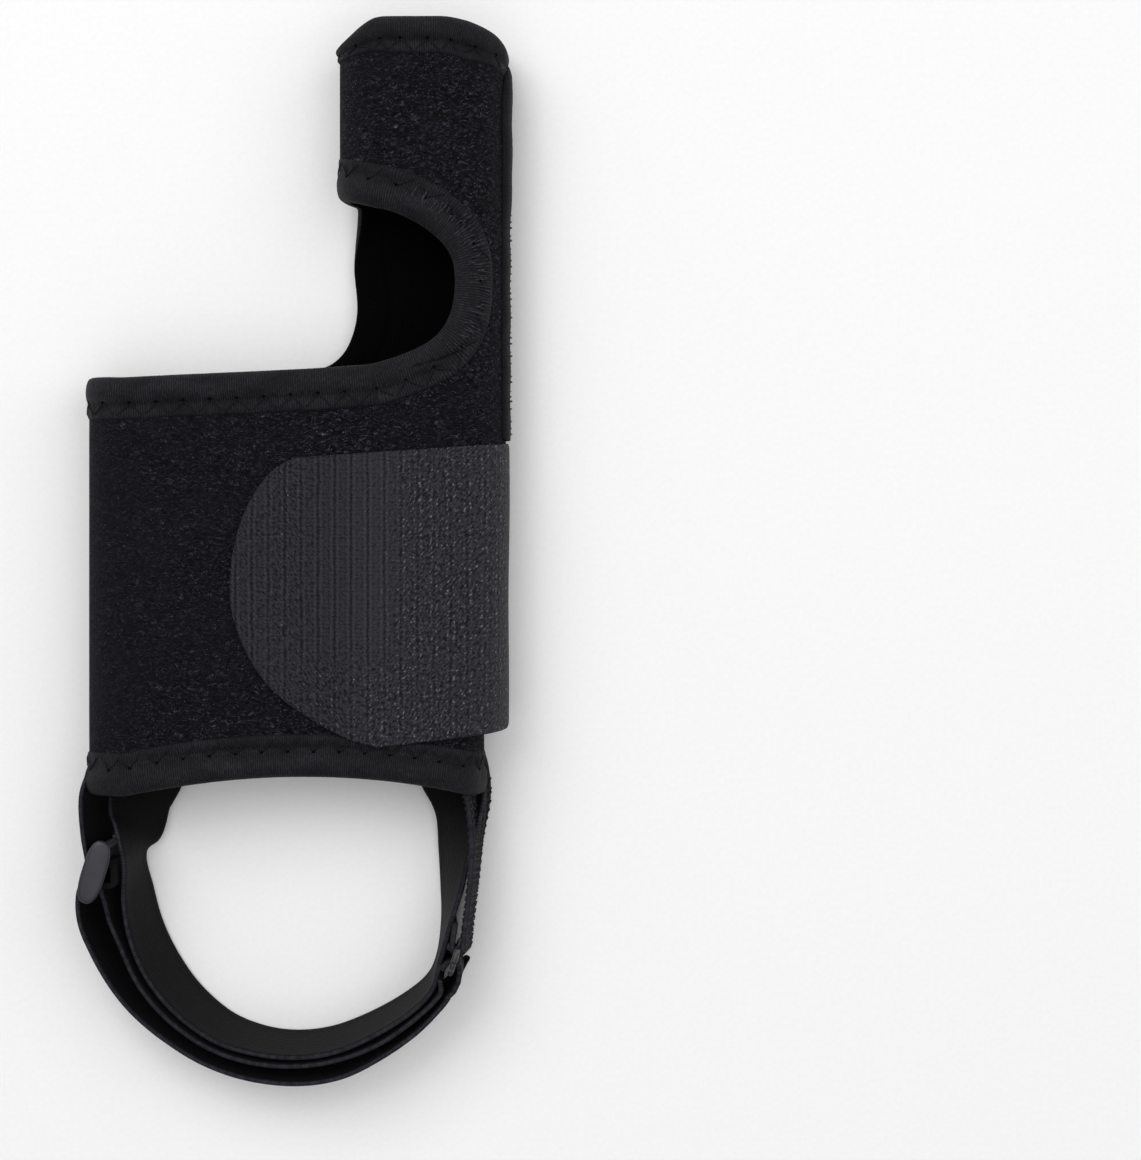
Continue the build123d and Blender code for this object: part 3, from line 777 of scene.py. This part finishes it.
def make_bindings(material, inner, thread, light_thread):
    """The three tapes on the sleeves' edges, each with its zigzag of thread."""
    w, y, offset = cut_loop(TAPE_STEP)
    close = 2 * TOE_HALF - 2 * FOOT_HALF
    rim = make_tape("cutout_tape", w, y, offset, close, 1.0, 9.2, material, inner, 3)
    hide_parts("cutout_binding", "neck_back_binding", "foot_top_binding", "toe_bottom_binding")
    curls = tubes(whip(w, y, offset, close, 1.0), 0.13, name="cutout_whip_stitches", material=light_thread)
    for piece in [rim, curls, *sew("cutout", (w, y, offset, close, 1.0), 9.2, thread, inner)]:
        blend_toe(piece)
    bw = np.linspace(0, 2 * FOOT_HALF, int(2 * FOOT_HALF / TAPE_STEP), endpoint=False)
    by = foot_bottom_at(bw)
    zero = np.zeros(len(bw))
    foot = make_tape("foot_bottom_tape", bw, by, zero, 2 * FOOT_HALF, 1.0, 9.4, material, inner, 5)
    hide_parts("foot_bottom_binding")
    for piece in [foot, *sew("foot", (bw, by, zero, 2 * FOOT_HALF, 1.0), 9.4, thread, inner)]:
        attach(piece, "foot_sleeve")
    tw = np.linspace(0, 2 * TOE_HALF, int(2 * TOE_HALF / TAPE_STEP), endpoint=False)
    ty = soften(toe_top_at(tw), 0.0, TAPE_STEP, 3.0)
    zero = np.zeros(len(tw))
    tx = ring(np.where(tw > TOE_HALF, tw - 2 * TOE_HALF, tw), TOE_LEFT)[0]
    wide = np.interp(tx, [12, 14, 17, 20, 45, 49, 51], [3.4, 4.4, 6.4, 8.0, 8.4, 7.4, 6.8])
    wide = soften(wide, 0.0, TAPE_STEP)
    toe = make_tape("toe_top_tape", tw, ty, zero, 2 * TOE_HALF, -1.0, wide, material, inner, 7)
    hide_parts("toe_top_binding")
    for piece in [toe, *sew("toe", (tw, ty, zero, 2 * TOE_HALF, -1.0), wide, thread, inner)]:
        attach(piece, "toe_sleeve")


# ---- stay pocket and side stay --------------------------------------------------------------
POCKET_LOW, POCKET_HIGH, POCKET_END = 26.3, 116.5, 10.0    # END is the length of its round upper end
POCKET_HALF, POCKET_SHIFT, POCKET_THICK = 5.6, -1.2, 0.5
STAY_LOW, STAY_HIGH, STAY_HALF, STAY_SHIFT, STAY_THICK = 29.0, 109.5, 3.6, -0.8, 0.4
OVERLOCK_LOW, OVERLOCK_HIGH, OVERLOCK_PITCH = 27.2, 92.0, 1.55


def make_pocket(binding, plastic, thread):
    """A strip of tape sewn over the right-hand fold, with a rounded upper end, and the stay in it."""
    y = np.linspace(POCKET_LOW, POCKET_HIGH, 160)[:, None]
    u = np.linspace(-1, 1, 31)[None, :]
    rounded = np.clip((y - POCKET_HIGH + POCKET_END) / POCKET_END, 0, 1)
    half = POCKET_HALF * np.sqrt(1 - rounded ** 2) + 0.02
    crown = np.sqrt(np.clip(1 - u ** 4, 0, 1))
    lift = (0.95 + 0.45 * ease((y - 78) / 10)) * crown * np.minimum(1, half / 4)
    w = u * half + POCKET_SHIFT
    ty = y + 0 * u
    points = skin(w, ty, lift + 0.09 * np.sin(y / 2.1) * crown + 0.17)
    uv = np.stack([w, ty], -1)
    faces = grid_faces(160, 31)[:, ::-1]
    piece = new_piece("stay_pocket_tape", points, faces, [binding], uv)
    thicken(piece, POCKET_THICK)
    blend_toe(piece)
    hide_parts("stay_pocket")
    f = np.linspace(0, 1, 9)[None, :]
    at = np.arange(OVERLOCK_LOW, OVERLOCK_HIGH, OVERLOCK_PITCH)[:, None]
    tw = 3.6 - 9.0 * f
    rng = np.random.default_rng(21)
    jitter = rng.uniform(-0.35, 0.35, (len(at), 1))
    over = skin(tw + jitter, at + 0.8 * f + jitter, 0.75 + (0.45 + 0.5 * jitter) * np.sin(np.pi * f))
    overlock = tubes(over, 0.24, name="pocket_overlock", material=thread)
    blend_toe(overlock)
    sy = np.linspace(STAY_LOW, STAY_HIGH, 110)[:, None]
    su = np.linspace(-1, 1, 13)[None, :]
    rounded = np.clip((np.abs(sy - (STAY_LOW + STAY_HIGH) / 2) - 37.0) / 3.3, 0, 1)
    side = STAY_HALF * np.sqrt(1 - rounded ** 2) + 0.02
    stay = new_piece("side_stay_strip", skin(su * side + STAY_SHIFT, sy, 0.42 - 0.1 * su ** 8),
                     grid_faces(110, 13)[:, ::-1], [plastic], np.stack([su * side, sy + 0 * su], -1))
    thicken(stay, STAY_THICK)
    blend_toe(stay)
    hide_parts("side_stay")


# ---- closing tab ----------------------------------------------------------------------------
TAB_LEFT = [(across(x), y) for x, y in ((1.6, 21.6), (-3.4, 18.6), (-8.2, 12.4), (-11.6, 4.0), (-13.4, -6.0),
                                        (-12.9, -15.0), (-9.4, -24.8), (-3.0, -33.6), (6.0, -40.2),
                                        (14.2, -44.6), (21.5, -46.7))]
TAB_ROOT_W, TAB_TOP, TAB_BOTTOM = -8.0, 26.0, -41.3
TAB_THICK = 1.0
HOOK_R, HOOK_X, HOOK_Y = 19.5, 10.0, -11.0


def make_tab(knit, hook, backing):
    """The D-shaped tab, ruled from its sewn root to its round end, and the hook pad under it."""
    rows, columns = 120, 130
    left = through(TAB_LEFT, rows)
    v = np.linspace(0, 1, rows)[:, None]
    u = np.linspace(0, 1, columns)[None, :]
    root_y = TAB_TOP * (1 - v) + TAB_BOTTOM * v
    w = TAB_ROOT_W * (1 - u) + left[:, :1] * u
    y = root_y * (1 - u) + left[:, 1:] * u
    border = np.minimum(np.minimum(v, 1 - v) * 66, (1 - u) * 70)
    thin = 0.28 * (1 - ease(border / 0.9))
    wave = 0.10 * np.sin(w / 9 + y / 15) + 0.08 * np.sin(y / 6.5 - w / 11)
    rest = np.interp(w, [-8, -5, 2, 12], [0.15, 0.5, 0.9, 1.35])
    points = skin(w, y, rest + wave - thin, free=ease((w + 8.0) / 8.0))
    faces = grid_faces(rows, columns)
    piece = new_piece("closing_tab_knit", points, faces, [knit, backing], np.stack([w, y], -1))
    thicken(piece, TAB_THICK, inner=1)
    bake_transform(piece)
    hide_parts("closing_tab", "tab_root")
    r = np.linspace(0, 1, 40)[:, None]
    turn = np.linspace(0, 2 * np.pi, 96, endpoint=False)[None, :]
    pad_w, pad_y = across(HOOK_X) + HOOK_R * r * np.cos(turn), HOOK_Y + HOOK_R * r * np.sin(turn)
    pad = skin(pad_w, pad_y, 0.32 - 0.25 * r ** 12, free=True)
    patch = new_piece("hook_pad", pad, grid_faces(40, 96, wrap_columns=True), [hook], np.stack([pad_w, pad_y], -1))
    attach(patch, "tab")
    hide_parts("hook_patch")


# ---- straps ---------------------------------------------------------------------------------
# Control points of each webbing ribbon: X, Y, its width's angle from the horizontal, lower edge's Z.
HEEL_BAND = [(-33.5, -47, 3, 3.2), (-34.5, -53, 8, 3.2), (-37, -59.5, 30, 2.5), (-37.6, -66, 48, 1.5),
             (-38.3, -73.5, 80, .8), (-37.5, -83, 72, .5), (-35.5, -92, 68, .4), (-31.6, -100.5, 66, .4),
             (-25.4, -108.5, 68, .4), (-17, -115, 72, .4), (-8, -118.2, 75, .4), (1, -119.2, 76, .4),
             (10, -118, 77, .4), (19, -114.4, 78, .4), (27.5, -109.4, 79, .4), (33, -104.3, 82, .4),
             (35.2, -98.5, 86, .4), (36.9, -90, 81, .5), (38.2, -81, 70, .8), (39, -72, 60, 1.4),
             (39.9, -64, 46, 2.2), (39.6, -58.5, 30, 2.6), (37, -52, 8, 3.2), (35.5, -47, 3, 3.2)]
OUTER_STRAP = [(-41.5, -48, 62, 3.2), (-44.5, -54, 64, 2.6), (-46.6, -60, 66, 1.5), (-47, -68, 72, 1),
               (-46.9, -76, 80, .8), (-48.6, -82, 76, .5), (-47.6, -88, 68, .4), (-44.6, -94.5, 64, .4),
               (-40.6, -101.5, 64, .4), (-35.5, -108, 65, .4), (-28.5, -114.4, 68, .4), (-20, -120, 71, .4),
               (-10, -123.8, 74, .4), (1, -125.4, 76, .4), (11, -124.2, 77, .4), (20, -120.2, 78, .4),
               (28.5, -114.6, 79, .4), (34.6, -108.6, 80, .4), (38.4, -104.3, 84, 1), (40.35, -101.5, 90, 3),
               (40.1, -98.5, 90, 3), (37.9, -97.8, 90, 3), (36.2, -99.7, 90, 3)]
RETURN_LAYER = [(36.4, -99.6, 90, 3), (34.9, -105, 82, 1.2), (29, -110.8, 80, .6), (20, -116.6, 79, .5),
                (10, -120.3, 78, .4), (.5, -121.4, 77, .4), (-9.5, -120.2, 76, .4), (-18.8, -116.6, 73, .4),
                (-27.2, -110.2, 70, .4), (-33.8, -102, 67, .4), (-38.2, -93, 67, .4), (-41.3, -86, 70, .6),
                (-43.4, -80.5, 80, 2), (-43.8, -77.5, 84, 3)]
ANCHOR_STRAP = [(41.5, -48, 62, 3.2), (43.6, -54, 66, 2.6), (44.6, -60, 72, 1.8), (44.2, -70, 84, 1.6),
                (43.4, -80, 86, 2.4), (42.2, -90, 86, 3), (41.8, -94.3, 86, 3), (41.3, -96.0, 86, 3),
                (39.9, -96.4, 86, 3), (38.5, -95.3, 86, 3), (38.3, -93.3, 86, 3), (39.0, -88.5, 86, 3)]


def ribbon_frames(control, lean, step=0.7):
    """Centre line, width direction and thickness direction along a ribbon."""
    path = through(control, 400)
    flat = path[:, :2]
    far = np.r_[0, np.cumsum(np.linalg.norm(np.diff(flat, axis=0), axis=1))]
    want = np.linspace(0, far[-1], int(far[-1] / step))
    path = np.stack([np.interp(want, far, path[:, k]) for k in range(4)], -1)
    theta = np.radians(path[:, 2])
    centre = np.stack([path[:, 0], path[:, 1], path[:, 3] + WEB_HALF * np.sin(theta)], -1)
    tangent = np.gradient(centre, axis=0)
    tangent /= np.linalg.norm(tangent, axis=1, keepdims=True)
    flat = tangent[:, :2] / np.linalg.norm(tangent[:, :2], axis=1, keepdims=True)
    outward = np.stack([flat[:, 1], -flat[:, 0], 0 * theta], -1) * lean
    width = np.cos(theta)[:, None] * outward + np.sin(theta)[:, None] * np.array([0, 0, 1.0])
    width -= (width * tangent).sum(1, keepdims=True) * tangent
    width /= np.linalg.norm(width, axis=1, keepdims=True)
    return centre, width, np.cross(tangent, width), want


def ribbon(name, control, material, lean=1.0, thick=1.3, half=WEB_HALF, seed=1):
    """Webbing swept along its frames: a rounded flat section with slightly thicker selvedges."""
    centre, width, across_, far = ribbon_frames(control, lean)
    u = np.array([-1, -0.97, -0.9, -0.8, -0.5, -0.2, 0.2, 0.5, 0.8, 0.9, 0.97, 1.0])
    h = np.array([0.30, 0.42, 0.5, 0.44, 0.42, 0.42, 0.42, 0.42, 0.44, 0.5, 0.42, 0.30])
    side_u = np.r_[u, u[::-1]] * half
    side_h = np.r_[h, -h[::-1]] * thick
    rng = np.random.default_rng(seed)
    wander = sum(rng.uniform(0.1, 0.22) * np.sin(far / length + rng.uniform(0, 6.3))
                 for length in (4.5, 8.0, 13.0))
    swing = wander * np.minimum(1, np.minimum(far, far[-1] - far) / 12)
    high = side_h[None, :, None] + 0.35 * swing[:, None, None] * (side_u / half)[None, :, None]
    points = centre[:, None, :] + side_u[None, :, None] * width[:, None, :] + high * across_[:, None, :]
    faces = grid_faces(len(centre), len(side_u), wrap_columns=True)
    last = (len(centre) - 1) * len(side_u)
    n = len(u)
    k = np.arange(n - 1)
    cap = np.stack([k, k + 1, 2 * n - 2 - k, 2 * n - 1 - k], -1)
    faces = np.vstack([faces, cap[:, ::-1], cap + last])
    uv = np.stack(np.broadcast_arrays(side_u[None, :], far[:, None]), -1)
    piece = new_piece(name, points, faces, [material], uv)
    bm = bmesh.new()
    bm.from_mesh(piece.data)
    bmesh.ops.recalc_face_normals(bm, faces=bm.faces)
    bm.to_mesh(piece.data)
    bm.free()
    return piece


def make_straps(webbing, light_thread):
    heel = ribbon("heel_band_webbing", HEEL_BAND, webbing, seed=11)
    outer = ribbon("outer_strap_webbing", OUTER_STRAP, webbing, seed=12)
    back = ribbon("return_layer_webbing", RETURN_LAYER, webbing, lean=-1.0, seed=13)
    anchor = ribbon("ring_anchor_webbing", ANCHOR_STRAP, webbing, lean=1.0, seed=14)
    centre, width, across_, far = ribbon_frames(ANCHOR_STRAP, 1.0)
    f = np.linspace(0, 1, 7)[None, :]
    segments = []
    for row in (-6.6, -3.0, 0.6, 4.2, 6.9):
        start = np.arange(8.0, 52.0, 1.7)[:, None]
        s = start + 1.5 * f
        u = row + 0.9 * np.sin(np.pi * (2 * f + start))
        at = np.stack([np.interp(s, far, centre[:, k]) for k in range(3)], -1)
        wide = np.stack([np.interp(s, far, width[:, k]) for k in range(3)], -1)
        out = np.stack([np.interp(s, far, across_[:, k]) for k in range(3)], -1)
        for face in (-1, 1):
            segments.append(at + u[..., None] * wide + face * 0.72 * out)
    curls = tubes(np.concatenate(segments), 0.16, name="anchor_stitches", material=light_thread)
    for piece in (heel, outer, anchor, curls):
        blend_heel(piece)
    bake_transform(back)
    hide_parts("heel_band", "heel_band_left_root", "heel_band_right_root",
                "heel_band_left_end", "heel_band_right_end")
    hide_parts("adjust_strap", "adjust_strap_root", "adjust_strap_end")
    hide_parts("adjust_strap_return")
    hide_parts("ring_anchor_strap", "anchor_strap_root", "anchor_strap_end")


def lens_plate(cx, cy, z0, z1, half_x, half_y, turn):
    """A pillowed lens: a rounded, tilted plan shrunk towards its top and bottom faces."""
    around = np.linspace(0, 2 * np.pi, 64, endpoint=False)
    px = half_x * np.sign(np.cos(around)) * np.abs(np.cos(around)) ** 0.8
    py = half_y * np.sign(np.sin(around)) * np.abs(np.sin(around)) ** 0.72
    depth = np.array([0.0, 0.06, 0.2, 0.5, 0.8, 0.94, 1.0])
    inset = np.array([1.1, 0.45, 0.1, 0.0, 0.1, 0.45, 1.1])
    plan = [(0.01, 0.01, z0 - 0.16), (0.25, 0.25, z0 - 0.12)]
    plan += [((half_x - i) / half_x, (half_y - i) / half_y, z0 + d * (z1 - z0)) for d, i in zip(depth, inset)]
    plan += [(0.25, 0.25, z1 + 0.12), (0.01, 0.01, z1 + 0.16)]
    p = np.array([np.stack([px * sx, py * sy, np.full(64, z)], -1) for sx, sy, z in plan])
    c, s = math.cos(turn), math.sin(turn)
    x, y = p[..., 0] * c - p[..., 1] * s + cx, p[..., 0] * s + p[..., 1] * c + cy
    return np.stack([x, y, p[..., 2]], -1), grid_faces(len(plan), 64, wrap_columns=True)


def rods(paths, radius, sides=16):
    """Round bars along point lists, as point rings, open at their ends."""
    out = []
    for path in paths:
        p = np.asarray(path, float)
        t = np.gradient(p, axis=0)
        t /= np.linalg.norm(t, axis=1, keepdims=True)
        a = np.cross(t, np.array([0.31, 0.95, 0.02]))
        a /= np.linalg.norm(a, axis=1, keepdims=True)
        b = np.cross(t, a)
        turn = np.linspace(0, 2 * np.pi, sides, endpoint=False)
        circle = np.cos(turn)[None, :, None] * a[:, None] + np.sin(turn)[None, :, None] * b[:, None]
        out.append((p[:, None] + radius * circle, grid_faces(len(p), sides, wrap_columns=True)[:, ::-1]))
    return out


def one_piece(name, parts, material):
    """Several point grids with their faces as one mesh object."""
    points, faces, start = [], [], 0
    for p, f in parts:
        points.append(p.reshape(-1, 3))
        faces.append(f + start)
        start += len(points[-1])
    return new_piece(name, np.vstack(points), np.vstack(faces), [material])


def make_hardware(plastic, wire, webbing, thread):
    """The slider's two lens-shaped rails with three bars between them, the ring and the small webbing."""
    low, high = node_box("strap_slider")
    cx, cy = (low[0] + high[0]) / 2 + 0.2, (low[1] + high[1]) / 2 + 1.0
    tilt = math.radians(-17)
    parts = [lens_plate(cx, cy, low[2], low[2] + 2.0, 2.9, 7.7, tilt),
             lens_plate(cx, cy, high[2] - 2.0, high[2], 2.9, 7.7, tilt)]
    ux, uy = -math.sin(tilt), math.cos(tilt)
    for along in (-5.6, 0.0, 5.6):
        x, y = cx + along * ux, cy + along * uy
        z = np.linspace(low[2] + 1.0, high[2] - 1.0, 12)
        parts += rods([np.stack([np.full(12, x), np.full(12, y), z], -1)], 1.1)
    slider = one_piece("slider_moulding", parts, plastic)
    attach(slider, "slider")
    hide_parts("strap_slider")
    low, high = node_box("strap_ring")
    ends = ((38.3, -100.3), (40.1, -94.8))
    r, corner = 0.75, 1.4
    z0, z1 = low[2] + 1.0, high[2] - 1.0
    path = []
    for (x, y), (x2, y2), za, zb in ((ends[0], ends[1], z0, z1), (ends[1], ends[0], z1, z0)):
        rise = corner if za < zb else -corner
        path += [(x, y, za + rise), (x, y, (za + zb) / 2), (x, y, zb - rise)]
        step = np.array([x2 - x, y2 - y]) / math.hypot(x2 - x, y2 - y) * corner
        path += [(x + step[0], y + step[1], zb), (x2 - step[0], y2 - step[1], zb)]
    closed = through(path + path[:3], 320)
    ring_piece = one_piece("wire_ring", rods([closed], r), wire)
    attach(ring_piece, "ring")
    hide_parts("strap_ring")
    for node, material in (("slider_strap_loop", webbing), ("strap_bar_tacks", thread)):
        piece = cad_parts[node]
        piece.data.materials.clear()
        piece.data.materials.append(material)


# ---- stage ----------------------------------------------------------------------------------
# The camera looks straight down; its place and height are in millimetres, height above the middle.
CAMERA_X, CAMERA_Y, CAMERA_HEIGHT, CAMERA_LENS = 66.8, -7.2, 620.0, 80.2
# Each light's name, place and size in metres, and power in watts; all aim at the origin.
LIGHTS = [("key_light", (-0.55, 0.75, 1.15), 1.1, 10.0), ("fill_light", (0.9, 0.35, 1.1), 1.2, 5.0),
          ("top_light", (0.05, -0.35, 1.5), 1.6, 5.5)]
WORLD_STRENGTH = 0.36


def make_stage(floor_colour):
    """A pale floor, large soft lights and the camera straight above, where the photograph has them."""
    bpy.ops.mesh.primitive_plane_add(size=6.0, location=(0, 0, -0.0002))
    floor = bpy.context.object
    floor.name = "floor"
    floor.data.materials.append(paper_material(to_hex(floor_colour)))
    for name, place, size, power in LIGHTS:
        data = bpy.data.lights.new(name, "AREA")
        data.energy, data.size, data.shape = power, size, "SQUARE"
        lamp = bpy.data.objects.new(name, data)
        lamp.location = place
        lamp.rotation_euler = (-Vector(place)).to_track_quat("-Z", "Y").to_euler()
        bpy.context.scene.collection.objects.link(lamp)
    world = bpy.data.worlds.new("studio")
    bpy.context.scene.world = world
    world.use_nodes = True
    background = world.node_tree.nodes["Background"].inputs
    background["Color"].default_value = (1, 1, 1, 1)
    background["Strength"].default_value = WORLD_STRENGTH
    camera = bpy.data.cameras.new("photo_camera")
    camera.sensor_fit, camera.sensor_width, camera.sensor_height = "AUTO", 36.0, 36.0
    camera.lens = CAMERA_LENS
    camera.clip_start, camera.clip_end = 0.01, 10.0
    eye = bpy.data.objects.new("photo_camera", camera)
    eye.location = (CAMERA_X * MM, CAMERA_Y * MM, (MID_Z + CAMERA_HEIGHT) * MM)
    bpy.context.scene.collection.objects.link(eye)
    bpy.context.scene.camera = eye
    bpy.context.scene.view_settings.view_transform = "Standard"


# ---- add-on ---------------------------------------------------------------------------------
def colour(name, description, value):
    """A colour property shown as sRGB, from a hex string."""
    parts = [int(value[i:i + 2], 16) / 255 for i in (1, 3, 5)]
    return bpy.props.FloatVectorProperty(name=name, description=description, default=parts, size=3,
                                         subtype="COLOR_GAMMA", min=0.0, max=1.0)


class BraceColours(bpy.types.PropertyGroup):
    """Colours of the brace and its stage."""
    plush: colour("Plush", "Brushed loop plush of both sleeves", "#100f14")
    plush_light: colour("Plush highlights", "Loop ends that catch the light", "#1d1c23")
    lining: colour("Lining", "Knit inside both sleeves", "#040405")
    binding: colour("Binding", "Edge tape and stay pocket", "#131216")
    tab: colour("Tab", "Warp-knit loop tape of the closing tab", "#2a2a2f")
    webbing: colour("Webbing", "Woven elastic straps", "#060608")
    thread: colour("Thread", "Sewing thread", "#18181c")
    plastic: colour("Slider plastic", "Moulded strap slider", "#1e1e28")
    floor: colour("Floor", "Studio paper", "#fafafa")


class BraceSizes(bpy.types.PropertyGroup):
    """Sizes a user may change."""
    wall: bpy.props.FloatProperty(name="Laminate thickness", description="Plush, foam and lining together",
                                  default=WALL * MM, min=0.001, max=0.005, subtype="DISTANCE", unit="LENGTH")


def knit_of(colours):
    """The binding's knit, made once and shared."""
    return bpy.data.materials.get("binding_knit") or knit_material(
        "binding_knit", to_hex(colours.binding), "#2a292e", 0.55)


# The lining knit, which also paints the shade of the needle holes and of the tapes' inner legs.
def lining_and_shade_of(colours):
    return bpy.data.materials.get("lining_knit") or knit_material(
        "lining_knit", to_hex(colours.lining), "#060607", 0.9, 0.9, 0.9, 0.02)


def thread_of(colours):
    return bpy.data.materials.get("polyester_thread") or thread_material(to_hex(colours.thread))


def pale_thread():
    return bpy.data.materials.get("pale_polyester_thread") or thread_material("#45454c", "pale_polyester_thread")


def webbing_of(colours):
    return bpy.data.materials.get("woven_elastic_webbing") or webbing_material(to_hex(colours.webbing), "#0f0f13")


def plastic_of(colours):
    return bpy.data.materials.get("moulded_acetal") or acetal_material(to_hex(colours.plastic))


class BRACE_OT_laminate(bpy.types.Operator):
    """Builds the foot sleeve, the neck and the toe sleeve as one padded skin"""
    bl_idname = "brace.laminate"
    bl_label = "Padded sleeves"

    def execute(self, context):
        colours = context.scene.brace_colours
        plush = plush_material(to_hex(colours.plush), to_hex(colours.plush_light))
        piece = make_laminate(plush, lining_and_shade_of(colours))
        piece.modifiers["thickness"].thickness = context.scene.brace_sizes.wall
        return {"FINISHED"}


class BRACE_OT_bindings(bpy.types.Operator):
    """Builds the edge tapes and their zigzag stitching"""
    bl_idname = "brace.bindings"
    bl_label = "Edge tapes"

    def execute(self, context):
        colours = context.scene.brace_colours
        make_bindings(knit_of(colours), lining_and_shade_of(colours), thread_of(colours), pale_thread())
        return {"FINISHED"}


class BRACE_OT_pocket(bpy.types.Operator):
    """Builds the stay pocket over the right-hand fold"""
    bl_idname = "brace.pocket"
    bl_label = "Stay pocket"

    def execute(self, context):
        colours = context.scene.brace_colours
        make_pocket(knit_material("pocket_knit", "#0b0a0e", "#1d1c21", 0.55), plastic_of(colours), thread_of(colours))
        return {"FINISHED"}


class BRACE_OT_tab(bpy.types.Operator):
    """Builds the closing tab and the hook pad under it"""
    bl_idname = "brace.tab"
    bl_label = "Closing tab"

    def execute(self, context):
        colours = context.scene.brace_colours
        knit = rib_material("warp_knit_loop_tape", "#0e0e11", to_hex(colours.tab), "#37373d", "#84848e", 1.3, 1.2)
        hook = knit_material("hook_tape", "#141417", "#2c2c30", 1.2, 1.2)
        make_tab(knit, hook, knit_of(colours))
        return {"FINISHED"}


class BRACE_OT_straps(bpy.types.Operator):
    """Builds the heel band and the adjusting strap from woven webbing"""
    bl_idname = "brace.straps"
    bl_label = "Heel straps"

    def execute(self, context):
        colours = context.scene.brace_colours
        make_straps(webbing_of(colours), pale_thread())
        return {"FINISHED"}


class BRACE_OT_hardware(bpy.types.Operator):
    """Finishes the slider, the ring and the bar tacks"""
    bl_idname = "brace.hardware"
    bl_label = "Slider and ring"

    def execute(self, context):
        colours = context.scene.brace_colours
        make_hardware(plastic_of(colours), wire_material(), webbing_of(colours), thread_of(colours))
        return {"FINISHED"}


class BRACE_OT_stage(bpy.types.Operator):
    """Adds the floor, the lights and the camera"""
    bl_idname = "brace.stage"
    bl_label = "Stage"

    def execute(self, context):
        colours = context.scene.brace_colours
        make_stage(colours.floor)
        return {"FINISHED"}


OPERATORS = (BRACE_OT_laminate, BRACE_OT_bindings, BRACE_OT_pocket, BRACE_OT_tab, BRACE_OT_straps,
             BRACE_OT_hardware, BRACE_OT_stage)


class BRACE_PT_panel(bpy.types.Panel):
    """The brace's sizes, colours and builders"""
    bl_label = "Soft foot brace"
    bl_idname = "BRACE_PT_panel"
    bl_space_type = "VIEW_3D"
    bl_region_type = "UI"
    bl_category = "Brace"

    def draw(self, context):
        for group in (context.scene.brace_sizes, context.scene.brace_colours):
            for name in group.__annotations__:
                self.layout.prop(group, name)
        for operator in OPERATORS:
            self.layout.operator(operator.bl_idname)


CLASSES = (BraceColours, BraceSizes, *OPERATORS, BRACE_PT_panel)


def register():
    for cls in CLASSES:
        bpy.utils.register_class(cls)
    bpy.types.Scene.brace_colours = bpy.props.PointerProperty(type=BraceColours)
    bpy.types.Scene.brace_sizes = bpy.props.PointerProperty(type=BraceSizes)


def unregister():
    del bpy.types.Scene.brace_sizes
    del bpy.types.Scene.brace_colours
    for cls in reversed(CLASSES):
        bpy.utils.unregister_class(cls)


def main():
    register()
    for name in ("laminate", "bindings", "pocket", "tab", "straps", "hardware", "stage"):
        getattr(bpy.ops.brace, name)()


if __name__ == "__main__":
    main()
